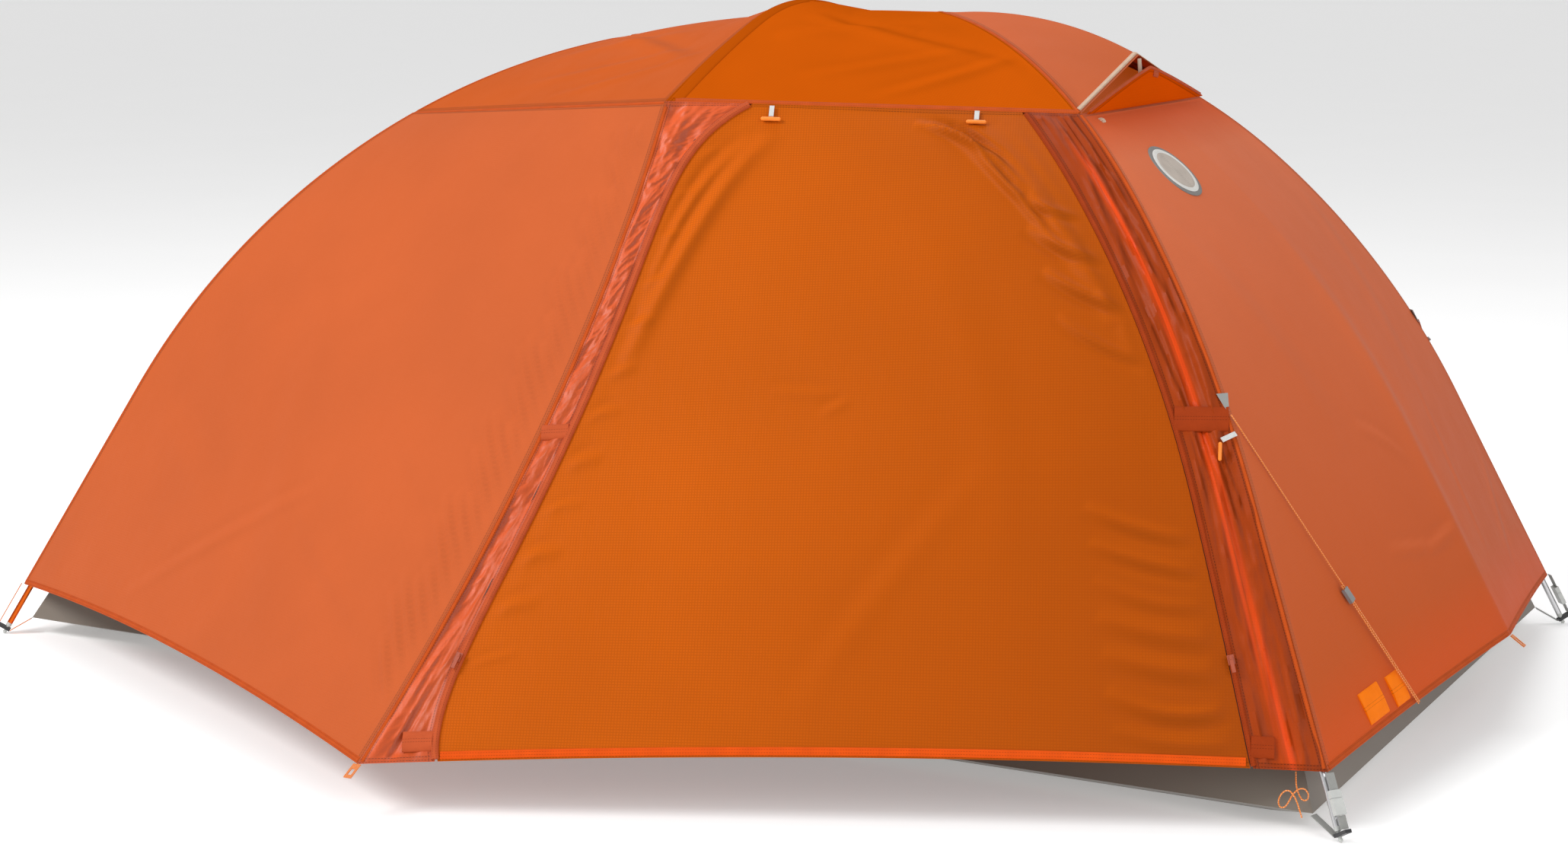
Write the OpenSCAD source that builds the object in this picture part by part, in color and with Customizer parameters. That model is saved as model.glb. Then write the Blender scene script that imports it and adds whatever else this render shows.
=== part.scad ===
// Two-person free-standing hub-pole tent: pole frame, inner tent with a tub floor, and a fly
// with two side vestibules. X runs from the foot end (-) to the head end (+), Y across, Z up.
// The origin is on the ground under the middle of the floor.

/* [Floor] */
// Length of the floor
floor_len = 2240; // [2100:10:2400]
// Width of the floor at the head end
floor_head_w = 1320; // [1250:10:1400]
// Width of the floor at the foot end
floor_foot_w = 1070; // [1000:10:1150]
// Height of the floor's side walls
tub_h = 110; // [90:5:130]
// Height to which the corner straps lift the floor's edge
floor_lift = 28; // [15:1:40]

/* [Poles] */
// Outer diameter of the pole tubes
pole_d = 9; // [8.5:0.1:9.2]
// Wall thickness of the pole tubes
pole_wall = 0.8; // [0.6:0.1:1.2]
// How far the pole tips stand beyond the floor's corners, along the tent
tip_out_x = 45; // [35:1:60]
// How far the pole tips stand beyond the floor's corners, across the tent
tip_out_y = 21; // [15:1:30]
// Place of the head hub along the tent
head_hub_x = 300; // [270:5:330]
// Height of the pole axes at the head hub
head_hub_z = 1027; // [1000:5:1050]
// Place of the foot hub along the tent
foot_hub_x = -260; // [-290:5:-230]
// Height of the pole axes at the foot hub
foot_hub_z = 982; // [960:5:1000]
// Place of the cross pole along the tent
brow_x = 58; // [40:2:80]
// Half the width of the cross pole, measured level
brow_half = 460; // [430:5:480]
// Height of the cross pole above the ridge pole where they cross
brow_rise = 20; // [18:1:26]

/* [Fly] */
// Outer face of the fly above the pole axes
fly_off = 11.5; // [11:0.5:13]
// Thickness given to a layer of cloth
cloth_t = 1.5; // [1.2:0.1:1.8]
// Place of the vestibule corner along the tent
vest_x = -45; // [-90:5:0]
// Distance of the vestibule corner from the tent's middle
vest_y = 1144; // [1050:2:1250]
// Height of the vestibule corner
vest_z = 70; // [50:2:90]
// Distance of the end pull-outs from the tent's middle
end_x = 1223; // [1200:1:1260]
// Height of the end pull-outs
end_z = 135; // [110:1:160]
// Height of the vent hood's tip
hood_tip_z = 977; // [950:1:990]

/* [Inner tent] */
// Inner tent below the pole axes
inner_off = 34; // [30:1:45]

/* [Motion clearances] */
// Gap along the edges of the doors
door_gap = 4; // [3:0.5:6]
// Clearance between sliding pieces
slide_gap = 0.4; // [0.3:0.1:0.6]

/* [Hidden] */
$fn = 32;

HEAD = 0;
FOOT = 1;
cloth_centre = [0, 0, 300];
pole_r = pole_d / 2;
bore_r = pole_r - pole_wall;
fit = 0.05;

// ---- small helpers -------------------------------------------------------------------------
function lerp(a, b, t) = a + (b - a) * t;
function unit(v) = v / norm(v);
function flip(p, side) = [p[0], side * p[1], p[2]];
function rad(deg) = deg * PI / 180;

// Puts children at p with their X along x_dir and their Z as near z_dir as it can be
module place(p, x_dir, z_dir) {
    x = unit(x_dir);
    z = unit(z_dir - (z_dir * x) * x);
    y = cross(z, x);
    multmatrix([[x[0], y[0], z[0], p[0]], [x[1], y[1], z[1], p[1]],
                [x[2], y[2], z[2], p[2]], [0, 0, 0, 1]])
        children();
}

// A flat strap from p to q, w wide and t thick, with its back face on the line p-q
module strap(p, q, z_dir, w, t) {
    place(p, q - p, z_dir)
        translate([0, -w / 2, 0]) cube([norm(q - p), w, t]);
}

// Both mirror images across the tent's middle plane
module both_sides() {
    children();
    mirror([0, 1, 0]) children();
}

// ---- pole paths ----------------------------------------------------------------------------
// A path lies in a vertical plane. It is a list of [length, radius], radius 0 for a straight,
// and it always bends downwards. A point on it is [level distance, height, slope down].
function ahead(p, len, r) =
    let (a = p[2] + (r == 0 ? 0 : len / r * 180 / PI))
    r == 0 ? [p[0] + len * cos(p[2]), p[1] - len * sin(p[2]), a]
           : [p[0] + r * (sin(a) - sin(p[2])), p[1] - r * (cos(p[2]) - cos(a)), a];
function path_len(path, k = 0) = k == len(path) ? 0 : path[k][0] + path_len(path, k + 1);
function path_at(path, p, d, k = 0) =
    d <= path[k][0] || k == len(path) - 1 ? ahead(p, d, path[k][1])
    : path_at(path, ahead(p, path[k][0], path[k][1]), d - path[k][0], k + 1);
function lifted(p, off) = [p[0] + off * sin(p[2]), p[1] + off * cos(p[2])];

// A ring-section tube along the stretch d0..d1 of a path that starts at p, one piece for each
// straight or bend, with a hair's gap at the joints between them
joint_gap = 0.2;
module path_tube(path, p, d0, d1, r_out, r_in, k = 0, d_here = 0) {
    if (k < len(path)) {
        seg = path[k];
        a = max(d0 - d_here, joint_gap / 2);
        b = min(d1 - d_here, seg[0] - joint_gap / 2);
        if (b > a) {
            q = ahead(p, a, seg[1]);
            if (seg[1] == 0)
                translate([q[0], 0, q[1]]) rotate([0, 90 + q[2], 0]) difference() {
                    cylinder(r = r_out, h = b - a);
                    if (r_in > 0) translate([0, 0, -1]) cylinder(r = r_in, h = b - a + 2);
                }
            else {
                sweep = (b - a) / seg[1] * 180 / PI;
                centre = [q[0] - seg[1] * sin(q[2]), q[1] - seg[1] * cos(q[2])];
                translate([centre[0], 0, centre[1]]) rotate([90, 0, 0])
                    rotate([0, 0, 90 - q[2] - sweep])
                    rotate_extrude(angle = sweep, $fn = 96) translate([seg[1], 0]) difference() {
                        circle(r = r_out);
                        if (r_in > 0) circle(r = r_in);
                    }
            }
        }
        path_tube(path, ahead(p, seg[0], seg[1]), d0, d1, r_out, r_in, k + 1, d_here + seg[0]);
    }
}

// ---- legs ----------------------------------------------------------------------------------
// Slopes at the hub, after the upper bend and at the foot, and the upper bend's radius
leg_a0 = [8, 12];
leg_a1 = [40, 30];
leg_a2 = [61, 59];
leg_r1 = [1000, 1100];
leg_straight = 50;
hub = [[head_hub_x, 0, head_hub_z], [foot_hub_x, 0, foot_hub_z]];
foot = [[floor_len / 2 + tip_out_x, -floor_head_w / 2 - tip_out_y, 0],
        [-floor_len / 2 - tip_out_x, -floor_foot_w / 2 - tip_out_y, 0]];
function leg_reach(end) = norm([foot[end][0] - hub[end][0], foot[end][1]]);
function leg_dir(end) = [foot[end][0] - hub[end][0], foot[end][1], 0] / leg_reach(end);

// The lower bend's radius and the last straight are what brings the tip to its place
function leg_path(end) =
    let (a0 = leg_a0[end], a1 = leg_a1[end], a2 = leg_a2[end], r1 = leg_r1[end],
         s = leg_reach(end) - leg_straight * cos(a0) - r1 * (sin(a1) - sin(a0)),
         z = hub[end][2] - leg_straight * sin(a0) - r1 * (cos(a0) - cos(a1)),
         m = sin(a2) - sin(a1),
         n = cos(a1) - cos(a2),
         det = m * sin(a2) - cos(a2) * n,
         r2 = (s * sin(a2) - cos(a2) * z) / det,
         last = (m * z - n * s) / det)
    [[leg_straight, 0], [r1 * rad(a1 - a0), r1], [r2 * rad(a2 - a1), r2], [last, 0]];
function leg_start(end) = [0, hub[end][2], leg_a0[end]];
leg_paths = [leg_path(HEAD), leg_path(FOOT)];
leg_lens = [path_len(leg_paths[HEAD]), path_len(leg_paths[FOOT])];
function leg_point(end, d, off) =
    let (q = lifted(path_at(leg_paths[end], leg_start(end), d), off), s = max(q[0], 0))
    [hub[end][0] + s * leg_dir(end)[0], s * leg_dir(end)[1], q[1]];
function leg_down(end, d) =
    let (a = path_at(leg_paths[end], leg_start(end), d)[2])
    [cos(a) * leg_dir(end)[0], cos(a) * leg_dir(end)[1], -sin(a)];
function leg_out(end, d) =
    let (a = path_at(leg_paths[end], leg_start(end), d)[2])
    [sin(a) * leg_dir(end)[0], sin(a) * leg_dir(end)[1], cos(a)];

// Children drawn in a leg's own plane, from its hub
module in_leg_plane(end) {
    translate([hub[end][0], 0, 0])
        rotate([0, 0, atan2(leg_dir(end)[1], leg_dir(end)[0])]) children();
}

// ---- ridge and cross pole --------------------------------------------------------------------
ridge_chord = norm(hub[HEAD] - hub[FOOT]);
ridge_tilt = atan((head_hub_z - foot_hub_z) / (head_hub_x - foot_hub_x));
ridge_bow = 5.4;
ridge_r = (ridge_chord / 2 - leg_straight * cos(ridge_bow)) / sin(ridge_bow);
ridge_path = [[leg_straight, 0], [ridge_r * rad(2 * ridge_bow), ridge_r], [leg_straight, 0]];
ridge_len = path_len(ridge_path);
ridge_start = [foot_hub_x, foot_hub_z, -ridge_tilt - ridge_bow];
function ridge_point(d, off) =
    let (q = lifted(path_at(ridge_path, ridge_start, d), off)) [q[0], 0, q[1]];
ridge_cross = (brow_x - foot_hub_x) / cos(ridge_tilt + 1);

brow_bend = 18;
brow_end = 24.5;
brow_r1 = 600;
brow_r2 = (brow_half - brow_r1 * sin(brow_bend)) / (sin(brow_end) - sin(brow_bend));
brow_path = [[brow_r2 * rad(brow_end - brow_bend), brow_r2],
             [brow_r1 * rad(2 * brow_bend), brow_r1],
             [brow_r2 * rad(brow_end - brow_bend), brow_r2]];
brow_len = path_len(brow_path);
brow_top_z = ridge_point(ridge_cross, 0)[2] + brow_rise;
brow_tip_z = brow_top_z - brow_r1 * (1 - cos(brow_bend))
    - brow_r2 * (cos(brow_bend) - cos(brow_end));
brow_start = [-brow_half, brow_tip_z, -brow_end];
function brow_point(d, off) =
    let (q = lifted(path_at(brow_path, brow_start, d), off)) [brow_x, q[0], q[1]];
module in_brow_plane() {
    translate([brow_x, 0, 0]) rotate([0, 0, 90]) children();
}

// ---- outline of the fly ----------------------------------------------------------------------
door_top_d = 440;
side_seam_d = 375;
hem_up = 92;
hem_d = [leg_lens[HEAD] - hem_up, leg_lens[FOOT] - hem_up];
apex = brow_point(brow_len / 2, fly_off);
brow_corner = brow_point(0, fly_off);
vest_corner = [vest_x, -vest_y, vest_z];
function fly_leg(end, d) =
    d < 1 ? hub[end] + [0, 0, fly_off] : leg_point(end, d, fly_off);
door_top = fly_leg(HEAD, door_top_d);
side_top = fly_leg(FOOT, side_seam_d);
fly_corner = [fly_leg(HEAD, hem_d[HEAD]), fly_leg(FOOT, hem_d[FOOT])];
end_corner = [[end_x, 0, end_z], [-end_x, 0, end_z]];

// Ridge lines: along the ridge pole, then up to the cross pole
lift_foot = 60;
lift_head = 95;
function ridge_to_foot(u) =
    u <= 0 ? fly_leg(FOOT, 0)
    : u <= 0.8 ? ridge_point(lerp(0, ridge_cross - lift_foot, u / 0.8), fly_off)
    : lerp(ridge_point(ridge_cross - lift_foot, fly_off), apex, (u - 0.8) / 0.2);
function ridge_to_head(u) =
    u >= 1 ? fly_leg(HEAD, 0)
    : u >= 0.4 ? ridge_point(lerp(ridge_cross + lift_head, ridge_len, (u - 0.4) / 0.6), fly_off)
    : lerp(apex, ridge_point(ridge_cross + lift_head, fly_off), u / 0.4);
function brow_line(v) = brow_point(brow_len / 2 * (1 - v), fly_off);
vest_bow = [25, 40, 0];
function vest_seam(v) = lerp(brow_corner, vest_corner, v) + vest_bow * 4 * v * (1 - v);

// Hems hang in shallow upward bows between their corners
side_hem_bow = 25;
end_hem_bow = 5;
front_hem_bow = 14;
function side_hem(u) =
    lerp(fly_corner[FOOT], vest_corner, u) + [0, 0, side_hem_bow * 4 * u * (1 - u)];
function front_hem(u) =
    lerp(vest_corner, fly_corner[HEAD], u) + [0, 0, front_hem_bow * 4 * u * (1 - u)];
function end_hem(end, u) =
    let (w = 1 - abs(2 * u - 1), side = u < 0.5 ? 1 : -1)
    lerp(flip(fly_corner[end], side), end_corner[end], w)
        + [0, 0, end_hem_bow * 4 * w * (1 - w)];

// A smooth surface through four edges that meet at their corners
function coons(top, bottom, left, right, u, v) =
    lerp(top(u), bottom(u), v) + lerp(left(v), right(v), u)
    - lerp(lerp(top(0), top(1), u), lerp(bottom(0), bottom(1), u), v);
function mesh_of(f, nu, nv) = [for (i = [0:nu]) [for (j = [0:nv]) f(i / nu, j / nv)]];

function roof_foot_at(u, v) =
    coons(function (t) ridge_to_foot(t), function (t) lerp(side_top, brow_corner, t),
          function (t) fly_leg(FOOT, t * side_seam_d), function (t) brow_line(t), u, v);
function roof_brow_at(u, v) =
    coons(function (t) ridge_to_head(t), function (t) lerp(brow_corner, door_top, t),
          function (t) brow_line(t), function (t) fly_leg(HEAD, t * door_top_d), u, v);
function side_panel_at(u, v) =
    coons(function (t) lerp(side_top, brow_corner, t), function (t) side_hem(t),
          function (t) fly_leg(FOOT, lerp(side_seam_d, hem_d[FOOT], t)),
          function (t) vest_seam(t), u, v);
function front_at(u, v) =
    coons(function (t) lerp(brow_corner, door_top, t), function (t) front_hem(t),
          function (t) vest_seam(t),
          function (t) fly_leg(HEAD, lerp(door_top_d, hem_d[HEAD], t)), u, v);

// Where the door's two edges lie across the front, from its top (v 0) to its hem (v 1)
function flap_edge(v) =
    0.036 + 0.02 * (1 - v) + 0.15 * pow(1 - v, 16) + 0.045 * pow(v, 12);
function strip_edge(v) = 0.925 - 0.06 * pow(1 - v, 3);
function front_width(v) = norm(front_at(1, v) - front_at(0, v));
function door_at(u, v) =
    let (w = lerp(door_gap / norm(front_at(0.5, 1) - front_at(0.5, 0)), 1, v),
         g = door_gap / front_width(w))
    front_at(lerp(flap_edge(w) + g, strip_edge(w) - g, u), w);

// The end panels run between the two legs of an end; v follows the rows of the side pieces
upper_rows = 5;
lower_rows = 8;
hub_cut = 6;
function foot_row(v) =
    let (r = v * (upper_rows + lower_rows))
    max(hub_cut, r <= upper_rows ? side_seam_d * r / upper_rows
        : lerp(side_seam_d, hem_d[FOOT], (r - upper_rows) / lower_rows));
function head_row(v) = lerp(door_top_d, hem_d[HEAD], v);
function end_panel_at(end, u, v) =
    let (row = end == HEAD ? function (t) head_row(t) : function (t) foot_row(t),
         a = fly_leg(end, row(0)))
    coons(function (t) lerp(a, flip(a, -1), t), function (t) end_hem(end, t),
          function (t) fly_leg(end, row(t)), function (t) flip(fly_leg(end, row(t)), -1),
          u, v);

// Vent at the top of the head end
hood_tip = [door_top[0] - 6, 0, hood_tip_z];
function hood_mouth(u) = lerp(flip(door_top, u < 0.5 ? 1 : -1), hood_tip, 1 - abs(2 * u - 1));
function hood_row(v) = max(hub_cut, door_top_d * v);
function hood_at(u, v) =
    let (a = fly_leg(HEAD, hub_cut))
    coons(function (t) lerp(a, flip(a, -1), t), function (t) hood_mouth(t),
          function (t) fly_leg(HEAD, hood_row(t)),
          function (t) flip(fly_leg(HEAD, hood_row(t)), -1), u, v);
mesh_inset = 14;
mesh_drop = 9;
function mesh_edge(v) =
    fly_leg(HEAD, lerp(70, door_top_d - 8, v)) + [0, mesh_inset, -mesh_drop];
function vent_mesh_at(u, v) = lerp(mesh_edge(v), flip(mesh_edge(v), -1), u);

// ---- inner tent ------------------------------------------------------------------------------
// Each inner edge follows a leg pole down to the top of the tub
function inner_end_d(end) =
    leg_lens[end] - (tub_h + inner_off * cos(leg_a2[end])) / sin(leg_a2[end]);
function inner_leg(end, v) =
    v <= 0 ? hub[end] - [0, 0, inner_off]
    : leg_point(end, inner_end_d(end) * v, -inner_off);
tub_top = [inner_leg(HEAD, 1), inner_leg(FOOT, 1)];
tub_foot = [[floor_len / 2, -floor_head_w / 2, 0], [-floor_len / 2, -floor_foot_w / 2, 0]];
inner_cut = 0.02;
function inner_ridge(u) =
    u <= 0 ? inner_leg(FOOT, 0) : u >= 1 ? inner_leg(HEAD, 0)
    : ridge_point(ridge_len * u, -inner_off);
function inner_wall_at(u, v) =
    coons(function (t) inner_ridge(t), function (t) lerp(tub_top[FOOT], tub_top[HEAD], t),
          function (t) inner_leg(FOOT, t), function (t) inner_leg(HEAD, t), u, v);
function inner_end_at(end, u, v) =
    let (a = inner_leg(end, inner_cut), b = tub_top[end])
    coons(function (t) lerp(a, flip(a, -1), t), function (t) lerp(b, flip(b, -1), t),
          function (t) inner_leg(end, max(inner_cut, t)),
          function (t) flip(inner_leg(end, max(inner_cut, t)), -1), u, v);

// ---- cloth as thin closed shells ---------------------------------------------------------------
// grid[i][j] is the outer face. The inner face lies a cloth's thickness nearer one common
// centre, so that neighbours which share an edge meet along the whole of it. Cells from
// hole = [i0, i1, j0, j1] are left out.
module shell(grid, reverse = false, hole = [0, 0, 0, 0], thick = cloth_t) {
    ni = len(grid) - 1;
    nj = len(grid[0]) - 1;
    outer = [for (row = grid) each row];
    inner = [for (p = outer) p + thick * unit(cloth_centre - p)];
    shift = len(outer);
    function id(i, j) = i * (nj + 1) + j;
    function kept(i, j) = i >= 0 && i < ni && j >= 0 && j < nj
        && !(i >= hole[0] && i < hole[1] && j >= hole[2] && j < hole[3]);
    function rim(a, b) = [[a, b, b + shift], [a, b + shift, a + shift]];
    faces = [for (i = [0:ni - 1], j = [0:nj - 1]) if (kept(i, j))
        each let (a = id(i, j), b = id(i + 1, j), c = id(i + 1, j + 1), d = id(i, j + 1))
        concat([[a, b, c], [a, c, d]],
               [[a + shift, c + shift, b + shift], [a + shift, d + shift, c + shift]],
               kept(i, j - 1) ? [] : rim(b, a),
               kept(i + 1, j) ? [] : rim(c, b),
               kept(i, j + 1) ? [] : rim(d, c),
               kept(i - 1, j) ? [] : rim(a, d))];
    polyhedron(concat(outer, inner),
               reverse ? [for (f = faces) [f[0], f[2], f[1]]] : faces, convexity = 6);
}
// A front grid joined to its own mirror image along row 0, the ridge
function with_mirror(grid) =
    [for (col = grid) concat([for (j = [len(col) - 1:-1:1]) col[j]],
                             [for (p = col) flip(p, -1)])];

// A round cord swept along a list of points
function cord_ring(p, t, up, r, n) =
    let (x = unit(cross(t, up)), y = cross(x, t))
    [for (k = [0:n - 1]) p + r * (cos(360 * k / n) * x + sin(360 * k / n) * y)];
module cord(pts, r, up, n = 8) {
    last = len(pts) - 1;
    rings = [for (i = [0:last])
        each cord_ring(pts[i], unit(pts[min(i + 1, last)] - pts[max(i - 1, 0)]), up, r, n)];
    sides = [for (i = [0:last - 1], k = [0:n - 1])
        let (a = i * n + k, b = i * n + (k + 1) % n)
        each [[a, b + n, a + n], [a, b, b + n]]];
    caps = [[for (k = [n - 1:-1:0]) k], [for (k = [0:n - 1]) last * n + k]];
    polyhedron(rings, concat(sides, caps), convexity = 6);
}

// ---- pole frame --------------------------------------------------------------------------------
hub_core_r = 13;
hub_core_h = 13;
hub_socket_r = 6.6;
hub_socket_len = 36;
pole_start = 16;
tip_plug = 25;
tip_len = 22;
sleeve_r = 5.5;
sleeve_fit = 0.35;
sleeve_len = 40;
brow_sleeve_len = 30;
brow_cap_len = 12;

module ridge_pole() {
    color("orangered")
        path_tube(ridge_path, ridge_start, pole_start, ridge_len - pole_start, pole_r, bore_r);
}
module leg_pole(end) {
    color("silver") in_leg_plane(end)
        path_tube(leg_paths[end], leg_start(end), pole_start, leg_lens[end] - tip_len,
                  pole_r, bore_r);
}
module leg_pole_head_front() { leg_pole(HEAD); }
module leg_pole_head_back() { mirror([0, 1, 0]) leg_pole(HEAD); }
module leg_pole_foot_front() { leg_pole(FOOT); }
module leg_pole_foot_back() { mirror([0, 1, 0]) leg_pole(FOOT); }
module brow_pole() {
    color("orangered") in_brow_plane()
        path_tube(brow_path, brow_start, brow_cap_len, brow_len - brow_cap_len, pole_r, bore_r);
}

// Straight sleeves over the joints between pole sections
module sleeve(q, len) {
    translate([q[0], 0, q[1]]) rotate([0, 90 + q[2], 0])
        translate([0, 0, -len / 2]) difference() {
            cylinder(r = sleeve_r, h = len);
            translate([0, 0, -1]) cylinder(r = pole_r + sleeve_fit, h = len + 2);
        }
}
module pole_ferrules() {
    color("dimgray") {
        both_sides() for (end = [HEAD, FOOT], k = [2, 3]) in_leg_plane(end) {
            path = leg_paths[end];
            sleeve(path_at(path, leg_start(end), path_len(path) - path_len(path, k)), sleeve_len);
        }
        for (k = [1, 2]) in_brow_plane()
            sleeve(path_at(brow_path, brow_start, brow_len - path_len(brow_path, k)), brow_sleeve_len);
    }
}

// Elastic cord inside the poles
shock_r = 1.3;
module shock_cords() {
    color("black") {
        both_sides() for (end = [HEAD, FOOT]) in_leg_plane(end)
            path_tube(leg_paths[end], leg_start(end), pole_start + 2,
                      leg_lens[end] - tip_len - tip_plug - 1, shock_r, 0);
        path_tube(ridge_path, ridge_start, pole_start + 2, ridge_len - pole_start - 2,
                  shock_r, 0);
        in_brow_plane() path_tube(brow_path, brow_start, brow_cap_len + 14,
                                  brow_len - brow_cap_len - 14, shock_r, 0);
    }
}

// A three-armed hub: a round core and a socket for each pole that meets there
module hub_arms(end, r, from, to) {
    both_sides() in_leg_plane(end) translate([0, 0, hub[end][2]])
        rotate([0, 90 + leg_a0[end], 0]) translate([0, 0, from]) cylinder(r = r, h = to - from);
    slope = end == HEAD ? ridge_bow - ridge_tilt - 90 : 90 - ridge_tilt - ridge_bow;
    translate(hub[end]) rotate([0, slope, 0])
        translate([0, 0, from]) cylinder(r = r, h = to - from);
}
module pole_hub(end) {
    color("black") difference() {
        union() {
            translate(hub[end] - [0, 0, hub_core_h / 2])
                cylinder(r = hub_core_r, h = hub_core_h);
            hub_arms(end, hub_socket_r, 0, hub_socket_len);
        }
        hub_arms(end, pole_r + fit, pole_start - 0.5, hub_socket_len + 1);
    }
}
module hub_head() { pole_hub(HEAD); }
module hub_foot() { pole_hub(FOOT); }

// Clamp that holds the cross pole above the ridge pole
module brow_connector() {
    body = [34, 20, 12];
    low = ridge_point(ridge_cross, 0);
    color("black") difference() {
        union() {
            translate([low[0] - body[0] / 2, -8, low[2] - 8]) cube([body[0], 16, 16]);
            translate([brow_x - 8, -body[0] / 2, brow_top_z - 8]) cube([16, body[0], 10]);
            translate([brow_x, 0, low[2]]) cylinder(r = 8, h = brow_rise);
        }
        path_tube(ridge_path, ridge_start, ridge_cross - 30, ridge_cross + 30,
                  pole_r + fit, 0);
        in_brow_plane() path_tube(brow_path, brow_start, brow_len / 2 - 30,
                                  brow_len / 2 + 30, pole_r + fit, 0);
    }
}
module brow_tips() {
    color("black") both_sides() in_brow_plane() {
        path_tube(brow_path, brow_start, 0, brow_cap_len, pole_r + 1.2, 0);
        path_tube(brow_path, brow_start, brow_cap_len, brow_cap_len + 12, bore_r - fit, 0);
    }
}

// Aluminium tips: a plug in the tube, a collar, a waist for the tip lock, and a round end
tip_collar = 6;
tip_waist_r = 2.5;
tip_ball_r = 3.2;
module pole_tips() {
    color("silver") both_sides() for (end = [HEAD, FOOT]) in_leg_plane(end) {
        d = leg_lens[end] - tip_len;
        stop = leg_lens[end] - tip_ball_r / sin(leg_a2[end]);
        q = path_at(leg_paths[end], leg_start(end), stop);
        path_tube(leg_paths[end], leg_start(end), d - tip_plug, d, bore_r - fit, 0);
        path_tube(leg_paths[end], leg_start(end), d, d + tip_collar, pole_r, 0);
        path_tube(leg_paths[end], leg_start(end), d + tip_collar, stop, tip_waist_r, 0);
        translate([q[0], 0, q[1]]) sphere(r = tip_ball_r);
    }
}

// Snap clips: a split ring on the pole and a tab down to the inner tent
clip_len = 12;
clip_ring_r = pole_r + 1.6;
clip_tab_t = 2;
leg_clips = [[200, 380, 540, 760, 1000], [200, 330, 520, 720, 920]];
module clip_at_origin() {
    rotate([0, 90, 0]) translate([0, 0, -clip_len / 2]) difference() {
        cylinder(r = clip_ring_r, h = clip_len);
        translate([0, 0, -1]) cylinder(r = pole_r + fit, h = clip_len + 2);
        translate([-clip_ring_r - 1, -2, -1]) cube([clip_ring_r + 1, 4, clip_len + 2]);
    }
    translate([-clip_len / 2, -clip_tab_t / 2, -inner_off + 1])
        cube([clip_len, clip_tab_t, inner_off - 1 - pole_r - 0.6]);
}
module pole_clips() {
    color("black") {
        both_sides() for (end = [HEAD, FOOT], d = leg_clips[end])
            place(leg_point(end, d, 0), leg_down(end, d), leg_out(end, d)) clip_at_origin();
        for (d = [ridge_len * 0.3, ridge_len * 0.75])
            place(ridge_point(d, 0), ridge_point(d + 1, 0) - ridge_point(d - 1, 0), [0, 0, 1])
            clip_at_origin();
    }
}

// ---- inner tent --------------------------------------------------------------------------------
door_cols = [4, 8];
door_rows = [5, 9];
wall_cols = 12;
wall_rows = 10;
// A closed solid through a stack of four-cornered rings, from the lowest up
module loft(rings) {
    top = 4 * (len(rings) - 1);
    polyhedron([for (ring = rings) each ring],
               [[0, 2, 3], [0, 1, 2], [top, top + 2, top + 1], [top, top + 3, top + 2],
                for (r = [0:4:top - 4], k = [0:3]) each let (a = r + k, b = r + (k + 1) % 4)
                    [[a, b + 4, b], [a, a + 4, b + 4]]], convexity = 4);
}
// The four corners of the tub at one level, pulled in by inset
function tub_ring(corners, inset, z) =
    [for (c = [[FOOT, 1], [HEAD, 1], [HEAD, -1], [FOOT, -1]])
        let (p = flip(corners[c[0]], c[1]))
        [p[0] - sign(p[0]) * inset, p[1] - sign(p[1]) * inset, z]];
// The floor lies flat, rises to its lifted edge, and turns up into the walls
floor_rise = 80;
module floor_tub() {
    top = tub_top[0][2];
    color("gray") difference() {
        loft([tub_ring(tub_foot, floor_rise, 0), tub_ring(tub_foot, 0, floor_lift),
              tub_ring(tub_top, 0, top)]);
        loft([tub_ring(tub_foot, floor_rise + cloth_t, cloth_t),
              tub_ring(tub_foot, cloth_t, floor_lift + cloth_t / 2),
              tub_ring(tub_top, cloth_t, top + 0.01)]);
    }
}
module inner_end(end) {
    grid = mesh_of(function (u, v) inner_end_at(end, u, v), 6, wall_rows);
    color("lightgray") shell(grid, reverse = end == HEAD);
}
module inner_end_head() { inner_end(HEAD); }
module inner_end_foot() { inner_end(FOOT); }
module inner_wall_front() {
    color("lightgray")
        shell(mesh_of(function (u, v) inner_wall_at(u, v), wall_cols, wall_rows),
              hole = [door_cols[0], door_cols[1], door_rows[0], door_rows[1]]);
}
module inner_wall_back() { mirror([0, 1, 0]) inner_wall_front(); }

// The inner door fills the wall's opening, less a gap all round, and hinges on its lower edge
inner_door_u = [for (c = door_cols) c / wall_cols];
inner_door_v = [for (r = door_rows) r / wall_rows];
function inner_door_at(u, v) =
    let (gu = door_gap / 900, gv = door_gap / 1000)
    inner_wall_at(lerp(inner_door_u[0] + gu, inner_door_u[1] - gu, u),
                  lerp(inner_door_v[0] + gv, inner_door_v[1] - gv, v));
module inner_door_front() {
    color("lightgray") shell(mesh_of(function (u, v) inner_door_at(u, v), 4, 5));
}
module inner_door_back() { mirror([0, 1, 0]) inner_door_front(); }

// ---- fly ---------------------------------------------------------------------------------------
module roof_foot() {
    color("darkorange")
        shell(with_mirror(mesh_of(function (u, v) roof_foot_at(u, v), 5, upper_rows)),
              reverse = true);
}
module roof_brow() {
    color("darkorange")
        shell(with_mirror(mesh_of(function (u, v) roof_brow_at(u, v), 5, upper_rows)),
              reverse = true);
}
module side_panel_front() {
    color("coral") shell(mesh_of(function (u, v) side_panel_at(u, v), 7, lower_rows));
}
module side_panel_back() { mirror([0, 1, 0]) side_panel_front(); }
module end_panel_head() {
    color("coral")
        shell(mesh_of(function (u, v) end_panel_at(HEAD, u, v), 8, lower_rows));
}
module end_panel_foot() {
    color("coral")
        shell(mesh_of(function (u, v) end_panel_at(FOOT, u, v), 8, upper_rows + lower_rows),
              reverse = true);
}
module storm_flap_front() {
    color("sandybrown")
        shell(mesh_of(function (u, v) front_at(u * flap_edge(v), v), 2, 16));
}
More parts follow.
